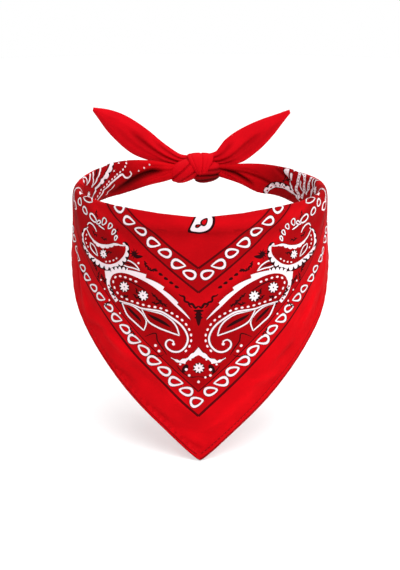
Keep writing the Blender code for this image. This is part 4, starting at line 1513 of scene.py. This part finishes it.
def make_lobe(row, pleat_rows):
    """A bulging turn of the knot, gathered into pleats that run across it, with painted shade below and in
    the pleats.
    """
    name, x, y, z, half_x, half_y, half_z, tilt, shade = row
    latitude = np.linspace(-math.pi / 2 + 0.02, math.pi / 2 - 0.02, LOBE_ROWS)[:, None]
    longitude = np.linspace(0, math.tau, LOBE_COLUMNS, endpoint=False)[None, :]
    height_share = np.sin(latitude) + 0 * longitude
    ball = columns(np.cos(latitude) * np.cos(longitude), np.cos(latitude) * np.sin(longitude), height_share)
    share = signed_power(ball, 2.0 / LOBE_POWER)
    dents = np.zeros(share.shape[:2])
    for height, slope, width, depth in pleat_rows:
        distance = share[..., 2] - height - slope * share[..., 0]
        dents += depth * bell(distance, width * np.where(distance > 0, 1.6, 0.7))
    shrink = 1.0 - dents * (1 - share[..., 2] ** 2) / half_y
    lean = math.radians(tilt)
    across = share[..., 0] * half_x * (0.25 + 0.75 * shrink)
    up = share[..., 2] * half_z
    points = columns(
        x + across * math.cos(lean) - up * math.sin(lean),
        y + share[..., 1] * half_y * shrink,
        z + across * math.sin(lean) + up * math.cos(lean),
    )
    round_it = np.linspace(0, math.tau, LOBE_COLUMNS + 1)[None, :]
    layout = columns(round_it * half_x + 0 * latitude, latitude * half_z + 0 * round_it)
    # Painted shade: darker towards the lobe's underside, and in the creases of its pleats.
    lit = smooth(-0.55, 0.4 + 0.8 * shade, height_share)
    tone = 1.0 - shade * (1.0 - lit) - LOBE_SHADE * np.clip(dents, 0.0, 1.0)
    lobe = woven_grid(name + "_cloth", points * MM, layout, tone=tone.ravel())
    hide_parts(name)


# ---------------------------------------------------------------- floor, light and camera
FLOOR_LEVEL = -0.1828
FLOOR_RADIUS = 1.25
FLOOR_GREY = 0.92
BOUNCE = 0.60


def make_floor():
    """A round pale floor, small enough that the lights reach its edge."""
    data = bpy.data.meshes.new("floor")
    turns = np.linspace(0, math.tau, 96, endpoint=False)
    rim = [(FLOOR_RADIUS * math.cos(turn), FLOOR_RADIUS * math.sin(turn), FLOOR_LEVEL) for turn in turns]
    data.from_pydata(rim, [], [range(len(rim))])
    floor = bpy.data.objects.new("floor", data)
    material = bpy.data.materials.new("pale_floor")
    material.use_nodes = True
    shader = material.node_tree.nodes["Principled BSDF"]
    shader.inputs["Base Color"].default_value = (FLOOR_GREY, FLOOR_GREY, FLOOR_GREY, 1)
    shader.inputs["Roughness"].default_value = 0.9
    data.materials.append(material)
    bpy.context.scene.collection.objects.link(floor)


LIGHTS = (
    # name, place, size, watts
    ("key", (0.25, -1.25, 1.5), 1.6, 34.0),
    ("side", (1.5, -0.7, 0.5), 1.2, 12.0),
    ("back", (-0.1, 1.2, 1.6), 1.2, 18.0),
)
LIT_PLACE = (0, 0, -0.06)


def make_light(name, place, size, energy):
    data = bpy.data.lights.new(name, "AREA")
    data.size = size
    data.energy = energy
    light = bpy.data.objects.new(name, data)
    light.location = place
    light.rotation_euler = (Vector(LIT_PLACE) - Vector(place)).to_track_quat("-Z", "Y").to_euler()
    bpy.context.scene.collection.objects.link(light)


CAMERA_ELEVATION = 16.3
CAMERA_DISTANCE = 1.427
CAMERA_LENS = 176.7
CAMERA_PITCH = 19.23


def make_camera():
    data = bpy.data.cameras.new("camera")
    data.sensor_fit = "HORIZONTAL"
    data.sensor_width = 36.0
    data.lens = CAMERA_LENS
    camera = bpy.data.objects.new("camera", data)
    up = math.radians(CAMERA_ELEVATION)
    camera.location = (0.0, -CAMERA_DISTANCE * math.cos(up), CAMERA_DISTANCE * math.sin(up))
    camera.rotation_euler = (math.radians(90 - CAMERA_PITCH), 0, 0)
    bpy.context.scene.collection.objects.link(camera)
    bpy.context.scene.camera = camera


def make_world():
    """White behind everything, and a dimmer white all round as the studio's bounced light."""
    bpy.context.scene.view_settings.view_transform = "Standard"
    world = bpy.data.worlds.new("white_studio")
    world.use_nodes = True
    nodes, links = world.node_tree.nodes, world.node_tree.links
    bounce = nodes["Background"]
    bounce.inputs["Color"].default_value = (1, 1, 1, 1)
    bounce.inputs["Strength"].default_value = BOUNCE
    seen = nodes.new("ShaderNodeBackground")
    seen.inputs["Color"].default_value = (1, 1, 1, 1)
    ray = nodes.new("ShaderNodeLightPath")
    mix = nodes.new("ShaderNodeMixShader")
    links.new(ray.outputs["Is Camera Ray"], mix.inputs["Fac"])
    links.new(bounce.outputs["Background"], mix.inputs[1])
    links.new(seen.outputs["Background"], mix.inputs[2])
    links.new(mix.outputs["Shader"], nodes["World Output"].inputs["Surface"])
    bpy.context.scene.world = world


make_bib()
make_band("band_left", -1, BAND_ENDS[0])
make_band("band_right", 1, BAND_ENDS[1])
make_tail("tail_left", TAIL_LEFT, TAIL_LEFT_PLEATS, 3)
make_tail("tail_right", TAIL_RIGHT, TAIL_RIGHT_PLEATS, 5)
make_strap()
for lobe_row, lobe_pleats in zip(LOBES, LOBE_PLEATS):
    make_lobe(lobe_row, lobe_pleats)

make_floor()
for light_row in LIGHTS:
    make_light(*light_row)
make_world()
make_camera()
